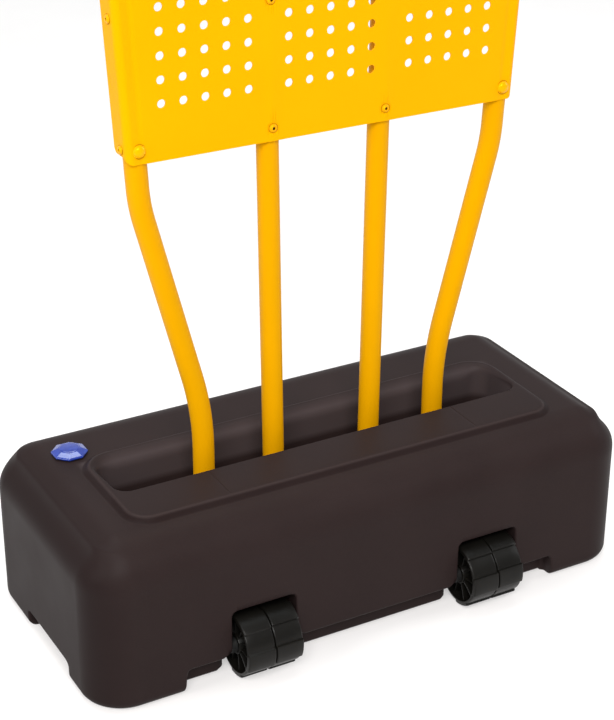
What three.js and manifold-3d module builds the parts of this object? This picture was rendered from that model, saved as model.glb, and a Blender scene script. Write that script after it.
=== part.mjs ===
// Football free-kick training mannequin standing in a fillable, wheeled base.
// Units mm, +Z up, X along the base, -Y is the front. Origin: on the ground,
// under the middle of the whole object. Dimensions below are from the tank's
// own middle and are shifted by MID_Y at the end.
import * as THREE from 'three';
import { mergeVertices } from 'three/addons/utils/BufferGeometryUtils.js';
import Module from 'manifold-3d';

const wasm = await Module();
wasm.setup();

// ------------------------------------------------------------ dimensions
// base
const BASE_L = 774, BASE_W = 350, BASE_H = 220.7;
const SHOULDER_R = 58, CORNER_R = 56, FOOT_R = 14, WALL = 5;
const PAD_Z = 227.3, PAD_CX = -4, PAD_X = 300, PAD_Y0 = -117, PAD_Y1 = 53, PAD_R = 27;
const SLOT_X = 293, SLOT_Y0 = -51.3, SLOT_Y1 = 36, SLOT_ROUND = 16, SLOT_R = 20, SLOT_FLOOR = 150;
const SOCKET_R = 15.2, SOCKET_FLOOR = 31;
const FOOT_X = 268, END_Y0 = -79, END_Y1 = 52, ARCH_Z = 35, END_ARCH_Z = 27;
const SKIRT_Y = 153, SKIRT_X = 366, BELLY_Z = 4;
// wheels
const WHEEL_X = 163.5, AXLE_Y = -163, AXLE_Z = 44, WHEEL_R = 43.5, TREAD_STEP = 3, WHEEL_W = 76;
const POCKET_HALF = 44.25, POCKET_Y = -112, POCKET_Z = 99;
const AXLE_R = 6, AXLE_BORE = 6.5, AXLE_HALF = 57.5;
// filler
const CAP_X = -307, CAP_Y = 81, NECK_R = 15, CAP_R = 23.5;
// mannequin
const TUBE_Y = -23, TUBE_R = 13.6, TUBE_IN = 11.9;
const LEG_END = 34.5, OUT_X = 169, IN_X = 70.5, IN_SLOPE = 0.0134;
const SHEET_BACK = -36.9, SHEET_T = 2, PANEL_Z0 = 635.3, FLANGE_BACK = -5;
const SIDE_SLOPE = 0.055, SIDE_X = 245.9, SIDE_Z = 634;
const SHOULDER_Z = 1410, SHOULDER_DEG = 20, NECK_X = 101.2;
const PITCH = 27.58, HOLE_R = 5.2, HOLE_Z = 702.7, HOLE_ROWS = 12;
const COLS = [0, 27.58, 55.16, 107.4, 134.98, 162.56, 190.14, 217.72];
const RIVET_Z0 = 651, RIVET_STEP = 152;

// the origin sits midway over the whole depth, wheels included
const MID_Y = -14.5;

// ------------------------------------------------------------ helpers
const V = (x, y, z) => new THREE.Vector3(x, y, z);
function toM(geo) {
  let g = geo.clone();
  g.deleteAttribute('normal'); g.deleteAttribute('uv');
  g = mergeVertices(g, 1e-4);
  return new wasm.Manifold(new wasm.Mesh({
    numProp: 3,
    vertProperties: new Float32Array(g.attributes.position.array),
    triVerts: new Uint32Array(g.index.array),
  }));
}
function fromM(m) {
  const s = m.getMesh();
  const g = new THREE.BufferGeometry();
  const n = s.numProp, c = s.vertProperties.length / n;
  const p = new Float32Array(c * 3);
  for (let i = 0; i < c; i++) for (let k = 0; k < 3; k++) p[i * 3 + k] = s.vertProperties[i * n + k];
  g.setAttribute('position', new THREE.BufferAttribute(p, 3));
  g.setIndex(new THREE.BufferAttribute(new Uint32Array(s.triVerts), 1));
  return g;
}
// closed solid through rings of equal point count; ring order runs
// anticlockwise seen from the last ring
function loft(rings, capFlat = true) {
  const n = rings[0].length, pos = [], idx = [];
  rings.forEach(r => r.forEach(p => pos.push(p.x, p.y, p.z)));
  for (let k = 0; k + 1 < rings.length; k++) {
    for (let i = 0; i < n; i++) {
      const a = k * n + i, b = k * n + (i + 1) % n, c = a + n, d = b + n;
      idx.push(a, b, d, a, d, c);
    }
  }
  const last = (rings.length - 1) * n;
  for (let i = 1; i + 1 < n; i++) {
    idx.push(0, i + 1, i);
    idx.push(last, last + i, last + i + 1);
  }
  const g = new THREE.BufferGeometry();
  g.setAttribute('position', new THREE.Float32BufferAttribute(pos, 3));
  g.setIndex(idx);
  return g;
}
function roundRect(hx0, hx1, y0, y1, r, z, seg = 5) {
  const out = [];
  const cs = [[hx1 - r, y1 - r, 0], [hx0 + r, y1 - r, 90], [hx0 + r, y0 + r, 180], [hx1 - r, y0 + r, 270]];
  for (const [cx, cy, a0] of cs) {
    for (let i = 0; i <= seg; i++) {
      const a = THREE.MathUtils.degToRad(a0 + 90 * i / seg);
      out.push(V(cx + r * Math.cos(a), cy + r * Math.sin(a), z));
    }
  }
  return out;
}
function box(x0, x1, y0, y1, z0, z1) {
  const g = new THREE.BoxGeometry(x1 - x0, y1 - y0, z1 - z0);
  g.translate((x0 + x1) / 2, (y0 + y1) / 2, (z0 + z1) / 2);
  return g;
}
// cylinder: r, from a to b along axis ('x','y','z') centred on c
function cyl(r0, r1, a, b, axis, c, n = 12, turn = 0) {
  const ring = (r, t) => {
    const out = [];
    for (let i = 0; i < n; i++) {
      const w = turn + 2 * Math.PI * i / n, u = r * Math.cos(w), v = r * Math.sin(w);
      if (axis === 'z') out.push(V(c[0] + u, c[1] + v, t));
      if (axis === 'x') out.push(V(t, c[1] + u, c[2] + v));
      if (axis === 'y') out.push(V(c[0] + v, t, c[2] + u));
    }
    return out;
  };
  return loft([ring(r0, a), ring(r1, b)]);
}
function rings(list, axis, c, n = 12, turn = 0) {
  return loft(list.map(([r, t]) => {
    const out = [];
    for (let i = 0; i < n; i++) {
      const w = turn + 2 * Math.PI * i / n, u = r * Math.cos(w), v = r * Math.sin(w);
      if (axis === 'z') out.push(V(c[0] + u, c[1] + v, t));
      if (axis === 'x') out.push(V(t, c[1] + u, c[2] + v));
      if (axis === 'y') out.push(V(c[0] + v, t, c[2] + u));
    }
    return out;
  }));
}

const group = new THREE.Group();
group.name = 'training_mannequin_on_base';
const MAT = {
  tank: [0x38302e, 0.62, 0.0],
  cap: [0x2340b8, 0.22, 0.0],
  seal: [0x161616, 0.8, 0.0],
  wheel: [0x171614, 0.38, 0.0],
  spacer: [0x2c2c2c, 0.5, 0.0],
  steel: [0xb9bcc0, 0.35, 1.0],
  tube: [0xffb400, 0.35, 0.0],
  sheet: [0xffc000, 0.4, 0.0],
  rivet: [0xd9a000, 0.35, 0.4],
  button: [0xf2b100, 0.35, 0.0],
  plug: [0x1a1a1a, 0.6, 0.0],
};
function add(name, geo, mat) {
  const [color, roughness, metalness] = MAT[mat];
  const g = geo.index ? geo.toNonIndexed() : geo;
  g.deleteAttribute('uv'); g.translate(0, -MID_Y, 0); g.computeVertexNormals();
  const mesh = new THREE.Mesh(g, new THREE.MeshStandardMaterial({ color, roughness, metalness }));
  mesh.name = name; group.add(mesh);
}

// ------------------------------------------------------------ base tank
const L2 = BASE_L / 2, W2 = BASE_W / 2;
function shell(off, z0, zTop) {
  // off: inward offset of the whole skin
  const lv = [];
  const sr = SHOULDER_R - off;
  const zs = zTop - sr;
  for (const a of [0, 45, 90]) {
    const t = THREE.MathUtils.degToRad(a);
    lv.push([z0 + FOOT_R * (1 - Math.cos(t)), off + FOOT_R * (1 - Math.sin(t))]);
  }
  for (const a of [0, 18, 36, 54, 72, 90]) {
    const t = THREE.MathUtils.degToRad(a);
    lv.push([zs + sr * Math.sin(t), off + sr * (1 - Math.cos(t))]);
  }
  return loft(lv.map(([z, i]) => roundRect(-L2 + i, L2 - i, -W2 + i, W2 - i, Math.max(6, CORNER_R - i * 0.5), z, 6)));
}
function padRing(e, back, z) {
  return roundRect(PAD_CX - PAD_X - e, PAD_CX + PAD_X + e, PAD_Y0 - e, PAD_Y1 + back, PAD_R + e, z);
}
function padSolid() {
  return loft([
    padRing(8, 7, BASE_H - 14),
    padRing(8, 7, BASE_H - 0.9),
    padRing(2, 2, PAD_Z - 1.8),
    padRing(-1.5, -1, PAD_Z),
  ]);
}
function slotSolid(e) {
  // e: wall offset for the outside of the trough (0 = the opening itself)
  const s = SLOT_ROUND;
  const top = e ? PAD_Z - 4 : PAD_Z + 3;
  const ring = (dx, y0, y1, rad, z) => roundRect(PAD_CX - SLOT_X - dx, PAD_CX + SLOT_X + dx, y0, y1, rad, z);
  const r = [
    ring(e - 8, SLOT_Y0 + 3 - e, SLOT_Y1 - 8 + e, SLOT_R + e, SLOT_FLOOR - e),
    ring(e - 5, SLOT_Y0 + 1 - e, SLOT_Y1 - 3 + e, SLOT_R + e, SLOT_FLOOR + 12),
    ring(e, SLOT_Y0 - e, SLOT_Y1 + e, SLOT_R + e, PAD_Z - s),
  ];
  if (e) {
    r.push(ring(e + 3, SLOT_Y0 - e, SLOT_Y1 + s * 0.3 + e, SLOT_R + e, top));
  } else {
    r.push(ring(0.8, SLOT_Y0, SLOT_Y1 + s * 0.3, SLOT_R, PAD_Z - s * 0.5));
    r.push(ring(2.6, SLOT_Y0, SLOT_Y1 + s * 0.94, SLOT_R + 3, PAD_Z + 0.2));
    r.push(ring(2.6, SLOT_Y0, SLOT_Y1 + s * 0.94, SLOT_R + 3, top));
  }
  return loft(r);
}
let tank = toM(shell(0, 0, BASE_H)).add(toM(padSolid()));
let cavity = toM(shell(WALL, BELLY_Z + WALL, BASE_H - WALL));
tank = tank.subtract(toM(slotSolid(0)));
cavity = cavity.subtract(toM(slotSolid(WALL)));
const legXs = [-OUT_X, -inX(LEG_END + 90), inX(LEG_END + 90), OUT_X];
function inX(z) { return IN_X + IN_SLOPE * (z - 215); }
for (const x of legXs) {
  tank = tank.subtract(toM(cyl(SOCKET_R, SOCKET_R, SOCKET_FLOOR, SLOT_FLOOR + 5, 'z', [x, TUBE_Y], 12)));
  cavity = cavity.subtract(toM(cyl(SOCKET_R + 4.5, SOCKET_R + 4.5, 0, SLOT_FLOOR + 2, 'z', [x, TUBE_Y], 12)));
}
for (const s of [-1, 1]) {
  const c = s * WHEEL_X;
  const pk = (e) => loft([
    // opening profile in the YZ plane, swept along X
    ...[c - POCKET_HALF - e, c + POCKET_HALF + e].map(x => [
      V(x, -W2 - 20, -20), V(x, POCKET_Y + e, -20), V(x, POCKET_Y + e, POCKET_Z - 16 + e * 0.6),
      V(x, POCKET_Y - 6 + e, POCKET_Z - 5 + e), V(x, POCKET_Y - 17, POCKET_Z + e), V(x, -W2 - 20, POCKET_Z + e),
    ]),
  ]);
  tank = tank.subtract(toM(pk(0)));
  cavity = cavity.subtract(toM(pk(WALL + 1)));
  cavity = cavity.subtract(toM(cyl(13, 13, c - 66, c + 66, 'x', [0, AXLE_Y, AXLE_Z], 12)));
  tank = tank.subtract(toM(cyl(AXLE_R + 0.35, AXLE_R + 0.35, c - AXLE_HALF - 1, c + AXLE_HALF + 1, 'x', [0, AXLE_Y, AXLE_Z], 12)));
  // skirt recess along the front and the back
  tank = tank.subtract(toM(loft([-FOOT_X, FOOT_X].map(x => {
    const k = x > 0 ? 4 : -4;
    return s < 0
      ? [V(x, -W2 - 20, -20), V(x, -SKIRT_Y, -20), V(x, -SKIRT_Y, ARCH_Z - 8), V(x, -SKIRT_Y - 8, ARCH_Z), V(x, -W2 - 20, ARCH_Z)]
      : [V(x, W2 + 20, ARCH_Z), V(x, SKIRT_Y + 8, ARCH_Z), V(x, SKIRT_Y, ARCH_Z - 8), V(x, SKIRT_Y, -20), V(x, W2 + 20, -20)];
  }))));
  cavity = cavity.subtract(toM(s < 0
    ? box(-FOOT_X - WALL, FOOT_X + WALL, -W2 - 20, -SKIRT_Y + WALL, -20, ARCH_Z + WALL)
    : box(-FOOT_X - WALL, FOOT_X + WALL, SKIRT_Y - WALL, W2 + 20, -20, ARCH_Z + WALL)));
  // end arches
  tank = tank.subtract(toM(s < 0
    ? box(-L2 - 20, -SKIRT_X, END_Y0, END_Y1, -20, END_ARCH_Z)
    : box(SKIRT_X, L2 + 20, END_Y0, END_Y1, -20, END_ARCH_Z)));
  cavity = cavity.subtract(toM(s < 0
    ? box(-L2 - 20, -SKIRT_X + WALL, END_Y0 - WALL, END_Y1 + WALL, -20, END_ARCH_Z + WALL)
    : box(SKIRT_X - WALL, L2 + 20, END_Y0 - WALL, END_Y1 + WALL, -20, END_ARCH_Z + WALL)));
}
// raised belly between the four corner feet
tank = tank.subtract(toM(box(-FOOT_X, FOOT_X, -W2 - 20, W2 + 20, -20, BELLY_Z)));
tank = tank.subtract(toM(box(-L2 - 20, L2 + 20, END_Y0, END_Y1, -20, BELLY_Z)));
// filler neck
tank = tank.subtract(toM(cyl(NECK_R, NECK_R, BASE_H - 20, BASE_H + 10, 'z', [CAP_X, CAP_Y], 16)));
tank = tank.subtract(cavity);
add('base_tank', fromM(tank), 'tank');

// filler cap: faceted dome, flat top disc, hollow threaded plug below
{
  const z = BASE_H + 1.35;
  let cap = toM(rings([[CAP_R, z], [CAP_R, z + 0.8], [CAP_R - 9.3, z + 3.5], [CAP_R - 10.2, z + 3.7]], 'z', [CAP_X, CAP_Y], 8, Math.PI / 8));
  cap = cap.add(toM(rings([[12.6, z + 3.4], [12.6, z + 4.1]], 'z', [CAP_X, CAP_Y], 16)));
  cap = cap.add(toM(rings([[13.2, z - 14], [14, z - 12.6], [14, z + 1]], 'z', [CAP_X, CAP_Y], 16)));
  add('filler_cap', fromM(cap), 'cap');
  let seal = toM(rings([[18.6, BASE_H + 0.3], [19.4, BASE_H + 0.6], [18.6, z - 0.3]], 'z', [CAP_X, CAP_Y], 14));
  seal = seal.subtract(toM(rings([[15.2, BASE_H - 1], [15.2, z + 1]], 'z', [CAP_X, CAP_Y], 14)));
  add('cap_gasket', fromM(seal), 'seal');
}

// ------------------------------------------------------------ wheels
function wheelHalf(x0, x1, open, phase) {
  // open: +1 when the open face is at x1, -1 when at x0
  const c = [0, AXLE_Y, AXLE_Z];
  const sectors = 10, pts = [];
  for (let i = 0; i < sectors; i++) {
    const r = i % 2 ? WHEEL_R : WHEEL_R - TREAD_STEP;
    for (const f of [0.02, 0.5, 0.98]) {
      const a = phase + 2 * Math.PI * (i + f) / sectors;
      pts.push([r * Math.cos(a), r * Math.sin(a)]);
    }
  }
  const ring = x => pts.map(([u, v]) => V(x, AXLE_Y + u, AXLE_Z + v));
  let w = toM(loft([ring(x0), ring(x1)]));
  const wx0 = open > 0 ? x0 + 3.5 : x0 - 5, wx1 = open > 0 ? x1 + 5 : x1 - 3.5;
  let hollow = toM(cyl(36.2, 36.2, wx0, wx1, 'x', c, 20));
  const hub0 = open > 0 ? x0 : x0 + 2.5, hub1 = open > 0 ? x1 - 2.5 : x1;
  hollow = hollow.subtract(toM(cyl(11.5, 11.5, hub0, hub1, 'x', c, 12)));
  const rib0 = open > 0 ? x0 : x0 + 5, rib1 = open > 0 ? x1 - 5 : x1;
  for (let i = 0; i < 8; i++) {
    const a = Math.PI / 8 + i * Math.PI / 4;
    const g = new THREE.BoxGeometry(rib1 - rib0, 30, 2.4);
    g.translate((rib0 + rib1) / 2, 24, 0);
    g.rotateX(a); g.translate(0, AXLE_Y, AXLE_Z);
    hollow = hollow.subtract(toM(g));
  }
  w = w.subtract(hollow);
  w = w.subtract(toM(cyl(AXLE_BORE, AXLE_BORE, x0 - 2, x1 + 2, 'x', c, 12)));
  return fromM(w);
}
for (const s of [-1, 1]) {
  const n = s < 0 ? 'left' : 'right', c = s * WHEEL_X, h = WHEEL_W / 2;
  add(`${n}_wheel_outer_half`, s < 0 ? wheelHalf(c - h, c - 0.25, -1, 0.2) : wheelHalf(c + 0.25, c + h, 1, 0.33), 'wheel');
  add(`${n}_wheel_inner_half`, s < 0 ? wheelHalf(c + 0.25, c + h, 1, 0.33) : wheelHalf(c - h, c - 0.25, -1, 0.2), 'wheel');
  add(`${n}_axle`, cyl(AXLE_R, AXLE_R, c - AXLE_HALF, c + AXLE_HALF, 'x', [0, AXLE_Y, AXLE_Z], 12), 'steel');
  for (const t of [-1, 1]) {
    const a = t < 0 ? c - POCKET_HALF + 0.4 : c + h - 2.5 + 0.5;
    const b = t < 0 ? c - h + 2.5 - 0.5 : c + POCKET_HALF - 0.4;
    let sp = toM(cyl(10, 10, a, b, 'x', [0, AXLE_Y, AXLE_Z], 12));
    sp = sp.subtract(toM(cyl(AXLE_BORE, AXLE_BORE, a - 1, b + 1, 'x', [0, AXLE_Y, AXLE_Z], 12)));
    add(`${n}_axle_spacer_${(t < 0) === (s < 0) ? 'outer' : 'inner'}`, fromM(sp), 'spacer');
  }
}

// ------------------------------------------------------------ steel tubes
// path: [x, z, plane normal angle or null]
function sweep(path, r, n, turn, ext) {
  const P = path.map(p => [p[0], p[1]]);
  const m = P.length;
  if (ext) {
    const f = (a, b, d) => { const l = Math.hypot(a[0] - b[0], a[1] - b[1]); return [a[0] + (a[0] - b[0]) / l * d, a[1] + (a[1] - b[1]) / l * d]; };
    const s0 = f(P[0], P[1], ext), s1 = f(P[m - 1], P[m - 2], ext);
    P[0] = s0; P[m - 1] = s1;
  }
  const out = [];
  for (let i = 0; i < m; i++) {
    const a = P[Math.max(0, i - 1)], b = P[i], c = P[Math.min(m - 1, i + 1)];
    const d0 = i ? [b[0] - a[0], b[1] - a[1]] : [c[0] - b[0], c[1] - b[1]];
    const d1 = i < m - 1 ? [c[0] - b[0], c[1] - b[1]] : d0;
    const l0 = Math.hypot(...d0), l1 = Math.hypot(...d1);
    let t = [d0[0] / l0 + d1[0] / l1, d0[1] / l0 + d1[1] / l1];
    const lt = Math.hypot(...t); t = [t[0] / lt, t[1] / lt];
    let k = 1 / Math.max(0.3, (t[0] * d0[0] + t[1] * d0[1]) / l0);
    let u = [t[1], -t[0]];
    if (path[i][2]) { // end cut square to X
      const cu = d0[0] / l0; u = [0, d0[0] < 0 ? 1 : -1]; k = 1 / Math.abs(cu);
    }
    const ring = [];
    for (let j = 0; j < n; j++) {
      const w = turn + 2 * Math.PI * j / n;
      const e = r * Math.cos(w) * k, y = r * Math.sin(w);
      ring.push(V(b[0] + u[0] * e, TUBE_Y + y, b[1] + u[1] * e));
    }
    out.push(ring);
  }
  let mm = toM(loft(out));
  return mm;
}
function arcTo(path, corner, next, r, seg) {
  // round the corner between the last point, corner and next
  const a = path[path.length - 1];
  const d0 = [corner[0] - a[0], corner[1] - a[1]], d1 = [next[0] - corner[0], next[1] - corner[1]];
  const l0 = Math.hypot(...d0), l1 = Math.hypot(...d1);
  const u0 = [d0[0] / l0, d0[1] / l0], u1 = [d1[0] / l1, d1[1] / l1];
  const ang = Math.acos(Math.min(1, u0[0] * u1[0] + u0[1] * u1[1]));
  const tl = r * Math.tan(ang / 2), side = Math.sign(u0[0] * u1[1] - u0[1] * u1[0]);
  const s = [corner[0] - u0[0] * tl, corner[1] - u0[1] * tl];
  const cx = s[0] - side * u0[1] * r, cz = s[1] + side * u0[0] * r;
  for (let i = 0; i <= seg; i++) {
    const w = side * ang * i / seg, co = Math.cos(w), si = Math.sin(w);
    const vx = s[0] - cx, vz = s[1] - cz;
    path.push([cx + vx * co - vz * si, cz + vx * si + vz * co]);
  }
}
const sideX = z => SIDE_X + SIDE_SLOPE * (z - SIDE_Z);
const SH = THREE.MathUtils.degToRad(SHOULDER_DEG);
const shX = sideX(SHOULDER_Z);
const neckZ = SHOULDER_Z + (shX - NECK_X) * Math.tan(SH);
const k1 = [OUT_X, 295], k2 = [242.9, 579.6], k3 = [shX, SHOULDER_Z];
const outer = [[OUT_X, LEG_END]];
arcTo(outer, k1, k2, 400, 4);
arcTo(outer, k2, k3, 220, 3);
arcTo(outer, k3, [NECK_X, neckZ], 85, 6);
outer.push([NECK_X, neckZ, 1]);
const HEAD_Z = 1690, HEAD_R = 100;
const LEG_TOP = 1495;
const leg = [[inX(LEG_END), LEG_END], [inX(LEG_TOP), LEG_TOP]];
const inner = [[inX(LEG_TOP + 0.35), LEG_TOP + 0.35]];
arcTo(inner, [inX(1515), 1515], [HEAD_R, 1600], 240, 2);
arcTo(inner, [HEAD_R, 1600], [HEAD_R, HEAD_Z], 240, 2);
for (let i = 0; i <= 10; i++) {
  const a = Math.PI * i / 10;
  inner.push([HEAD_R * Math.cos(a), HEAD_Z + HEAD_R * Math.sin(a)]);
}
const half = inner.slice(0, inner.length - 11).map(p => [-p[0], p[1]]).reverse();
const loop = inner.concat(half);

const rivetZ = [0, 1, 2, 3, 4, 5].map(i => RIVET_Z0 + i * RIVET_STEP);
const RIVET_HOLE = 2.7, RIVET_SHANK = 2.3;
const hole = (x, z, y0, y1, r = RIVET_HOLE, n = 6) => toM(cyl(r, r, y0, y1, 'y', [x, 0, z], n));
function outerTube(s) {
  let t = sweep(outer, TUBE_R, 12, 0, 0);
  t = t.subtract(sweep(outer, TUBE_IN, 8, 0, 3));
  t = t.subtract(hole(sideX(RIVET_Z0), RIVET_Z0, -60, TUBE_Y, 3.6));
  for (const z of rivetZ.slice(0, 5)) t = t.subtract(toM(cyl(RIVET_HOLE, RIVET_HOLE, sideX(z), sideX(z) + 30, 'x', [0, TUBE_Y, z], 6)));
  let g = fromM(t);
  if (s < 0) { g = mirrorX(g); }
  return g;
}
function mirrorX(g) {
  const p = g.attributes.position;
  for (let i = 0; i < p.count; i++) p.setX(i, -p.getX(i));
  const ix = g.index.array;
  for (let i = 0; i < ix.length; i += 3) { const t = ix[i]; ix[i] = ix[i + 1]; ix[i + 1] = t; }
  return g;
}
add('outer_tube_left', outerTube(-1), 'tube');
add('outer_tube_right', outerTube(1), 'tube');
const headRivets = [[98.6, 1600], [-98.6, 1600], [70.7, HEAD_Z + 70.7], [-70.7, HEAD_Z + 70.7]];
{
  let t = sweep(loop, TUBE_R, 12, 0, 0);
  t = t.subtract(sweep(loop, TUBE_IN, 8, 0, 3));
  for (const [x, z] of headRivets) t = t.subtract(hole(x, z, -60, TUBE_Y));
  add('head_loop_tube', fromM(t), 'tube');
}
function innerTube(s) {
  let t = sweep(leg, TUBE_R, 16, 0, 0);
  t = t.subtract(sweep(leg, TUBE_IN, 12, 0, 3));
  for (const z of rivetZ) t = t.subtract(hole(inX(z), z, -60, TUBE_Y));
  const g = fromM(t);
  return s < 0 ? mirrorX(g) : g;
}
add('inner_tube_left', innerTube(-1), 'tube');
add('inner_tube_right', innerTube(1), 'tube');
const legs = [[-OUT_X, 'outer_left'], [-inX(LEG_END), 'inner_left'], [inX(LEG_END), 'inner_right'], [OUT_X, 'outer_right']];
for (const [x, n] of legs) {
  add(`leg_plug_${n}`, fromM(toM(rings([[11.5, 31.3], [12.8, 32.2], [12.8, LEG_END - 0.3]], 'z', [x, TUBE_Y], 10))
    .add(toM(rings([[9.3, 33], [9.3, LEG_END + 14], [8, LEG_END + 17]], 'z', [x, TUBE_Y], 6)))), 'plug');
}

// ------------------------------------------------------------ sheets
function plate(outline, holes, y0, t) {
  // outline and holes as [x, z]; front face at y0 - t
  const sh = new THREE.Shape(outline.map(p => new THREE.Vector2(p[0], p[1])));
  for (const h of holes) sh.holes.push(new THREE.Path(h.map(p => new THREE.Vector2(p[0], p[1]))));
  const g = new THREE.ExtrudeGeometry(sh, { depth: t, bevelEnabled: false, steps: 1 });
  g.rotateX(Math.PI / 2); // shape y -> z, depth -> -y
  g.translate(0, y0, 0);
  return g;
}
function ngon(x, z, r, n, turn = 0) {
  const o = [];
  for (let i = 0; i < n; i++) { const a = turn - 2 * Math.PI * i / n; o.push([x + r * Math.cos(a), z + r * Math.sin(a)]); }
  return o;
}
const EDGE = TUBE_R + 0.4 + SHEET_T;
const torso = [];
{
  const zb = PANEL_Z0, xb = sideX(zb) + EDGE;
  torso.push([xb - 9, zb], [xb - 3, zb + 2.4], [xb + 0.1, zb + 8]);
  // side and shoulder follow the tube path at a constant offset
  const tail = outer.slice(-8);
  for (let i = 0; i < tail.length; i++) {
    const a = tail[Math.max(0, i - 1)], b = tail[i], c = tail[Math.min(tail.length - 1, i + 1)];
    let t = i === 0 ? [SIDE_SLOPE, 1] : [c[0] - a[0], c[1] - a[1]];
    if (i === tail.length - 1) t = [b[0] - a[0], b[1] - a[1]];
    const l = Math.hypot(...t);
    torso.push([b[0] + t[1] / l * EDGE, b[1] - t[0] / l * EDGE]);
  }
}
const torsoOutline = torso.concat(torso.map(p => [-p[0], p[1]]).reverse());
const torsoHoles = [];
for (let r = 0; r < HOLE_ROWS; r++) {
  const z = HOLE_Z + r * PITCH;
  for (const c of COLS) for (const s of c ? [-1, 1] : [1]) torsoHoles.push(ngon(s * c, z, HOLE_R, 6, Math.PI / 6));
}
for (const z of rivetZ) for (const s of [-1, 1]) torsoHoles.push(ngon(s * inX(z), z, RIVET_HOLE, 6));
for (const s of [-1, 1]) torsoHoles.push(ngon(s * sideX(RIVET_Z0), RIVET_Z0, 3.6, 6));
{
  let p = toM(plate(torsoOutline, torsoHoles, SHEET_BACK, SHEET_T));
  const zt = outer[outer.length - 8][1] - 4, zf = PANEL_Z0 + 8;
  for (const s of [-1, 1]) {
    const q = z => [sideX(z) + TUBE_R + 0.4, sideX(z) + EDGE];
    const fl = [zf, zt].map(z => {
      const [a, b] = q(z);
      return s > 0
        ? [V(a, SHEET_BACK - 1, z), V(b, SHEET_BACK - 1, z), V(b, FLANGE_BACK, z), V(a, FLANGE_BACK, z)]
        : [V(-b, SHEET_BACK - 1, z), V(-a, SHEET_BACK - 1, z), V(-a, FLANGE_BACK, z), V(-b, FLANGE_BACK, z)];
    });
    let f = toM(loft(fl));
    for (const z of rivetZ.slice(0, 5)) f = f.subtract(toM(cyl(RIVET_HOLE, RIVET_HOLE, s > 0 ? 200 : -400, s > 0 ? 400 : -200, 'x', [0, TUBE_Y, z], 6)));
    p = p.add(f);
  }
  add('torso_panel', fromM(p), 'sheet');
}
{
  const o = [];
  const z0 = 1502;
  const pr = [[inX(z0) + 11, z0], [inX(z0) + 14, 1525], [108, 1575], [111, 1610], [111, HEAD_Z]];
  o.push(...pr);
  for (let i = 1; i < 12; i++) { const a = Math.PI * i / 12; o.push([111 * Math.cos(a), HEAD_Z + 111 * Math.sin(a)]); }
  o.push(...pr.slice().reverse().map(p => [-p[0], p[1]]));
  const hs = headRivets.map(([x, z]) => ngon(x, z, RIVET_HOLE, 6));
  add('head_panel', fromM(toM(plate(o, hs, SHEET_BACK, SHEET_T))), 'sheet');
}

// ------------------------------------------------------------ fasteners
const FRONT = SHEET_BACK - SHEET_T;
function popRivet(x, z) {
  return fromM(toM(rings([[2.6, FRONT - 2.4], [4.3, FRONT - 1.5], [4.8, FRONT - 0.3]], 'y', [x, 0, z], 8))
    .add(toM(cyl(RIVET_SHANK, RIVET_SHANK, FRONT - 1, TUBE_Y - 9.5, 'y', [x, 0, z], 6))));
}
function sideRivet(s, z) {
  const f = sideX(z) + EDGE + 0.4;
  const a = rings([[4.8, f], [4.3, f + 1.2], [2.6, f + 2.1]], 'x', [0, TUBE_Y, z], 8);
  const b = cyl(RIVET_SHANK, RIVET_SHANK, sideX(z) + 9.5, f + 1, 'x', [0, TUBE_Y, z], 6);
  const g = fromM(toM(a).add(toM(b)));
  return s < 0 ? mirrorX(g) : g;
}
rivetZ.forEach((z, i) => {
  add(`rivet_inner_left_${i + 1}`, popRivet(-inX(z), z), 'rivet');
  add(`rivet_inner_right_${i + 1}`, popRivet(inX(z), z), 'rivet');
});
rivetZ.slice(0, 5).forEach((z, i) => {
  add(`rivet_side_left_${i + 1}`, sideRivet(-1, z), 'rivet');
  add(`rivet_side_right_${i + 1}`, sideRivet(1, z), 'rivet');
});
headRivets.forEach(([x, z], i) => add(`rivet_head_${i + 1}`, popRivet(x, z), 'rivet'));
for (const s of [-1, 1]) {
  const x = s * sideX(RIVET_Z0), z = RIVET_Z0;
  add(`corner_button_${s < 0 ? 'left' : 'right'}`, fromM(
    toM(rings([[2.5, FRONT - 5], [5.2, FRONT - 4.1], [7.2, FRONT - 2.2], [7.8, FRONT - 0.3]], 'y', [x, 0, z], 12))
      .add(toM(cyl(3.1, 3.1, FRONT - 1, TUBE_Y - 9.5, 'y', [x, 0, z], 6)))), 'button');
}

export default group;
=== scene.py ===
import bpy, math
import numpy as np
from mathutils import Vector, Matrix


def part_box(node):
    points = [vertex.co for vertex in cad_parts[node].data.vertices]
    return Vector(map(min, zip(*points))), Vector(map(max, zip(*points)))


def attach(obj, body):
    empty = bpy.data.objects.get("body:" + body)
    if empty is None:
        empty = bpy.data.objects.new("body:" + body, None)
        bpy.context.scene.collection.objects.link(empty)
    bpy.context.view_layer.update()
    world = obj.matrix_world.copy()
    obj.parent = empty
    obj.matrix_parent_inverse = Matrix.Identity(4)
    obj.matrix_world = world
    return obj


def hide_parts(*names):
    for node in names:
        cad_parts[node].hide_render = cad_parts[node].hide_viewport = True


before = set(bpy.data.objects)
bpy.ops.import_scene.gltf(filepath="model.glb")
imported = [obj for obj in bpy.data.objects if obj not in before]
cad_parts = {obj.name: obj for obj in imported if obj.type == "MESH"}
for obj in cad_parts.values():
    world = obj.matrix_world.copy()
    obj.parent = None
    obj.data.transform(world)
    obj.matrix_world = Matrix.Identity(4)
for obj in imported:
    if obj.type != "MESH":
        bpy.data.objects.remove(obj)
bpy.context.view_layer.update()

MM = 0.001
MID_Y = -14.5          # the tank's middle lies this far behind the frame's origin (mm)

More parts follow.
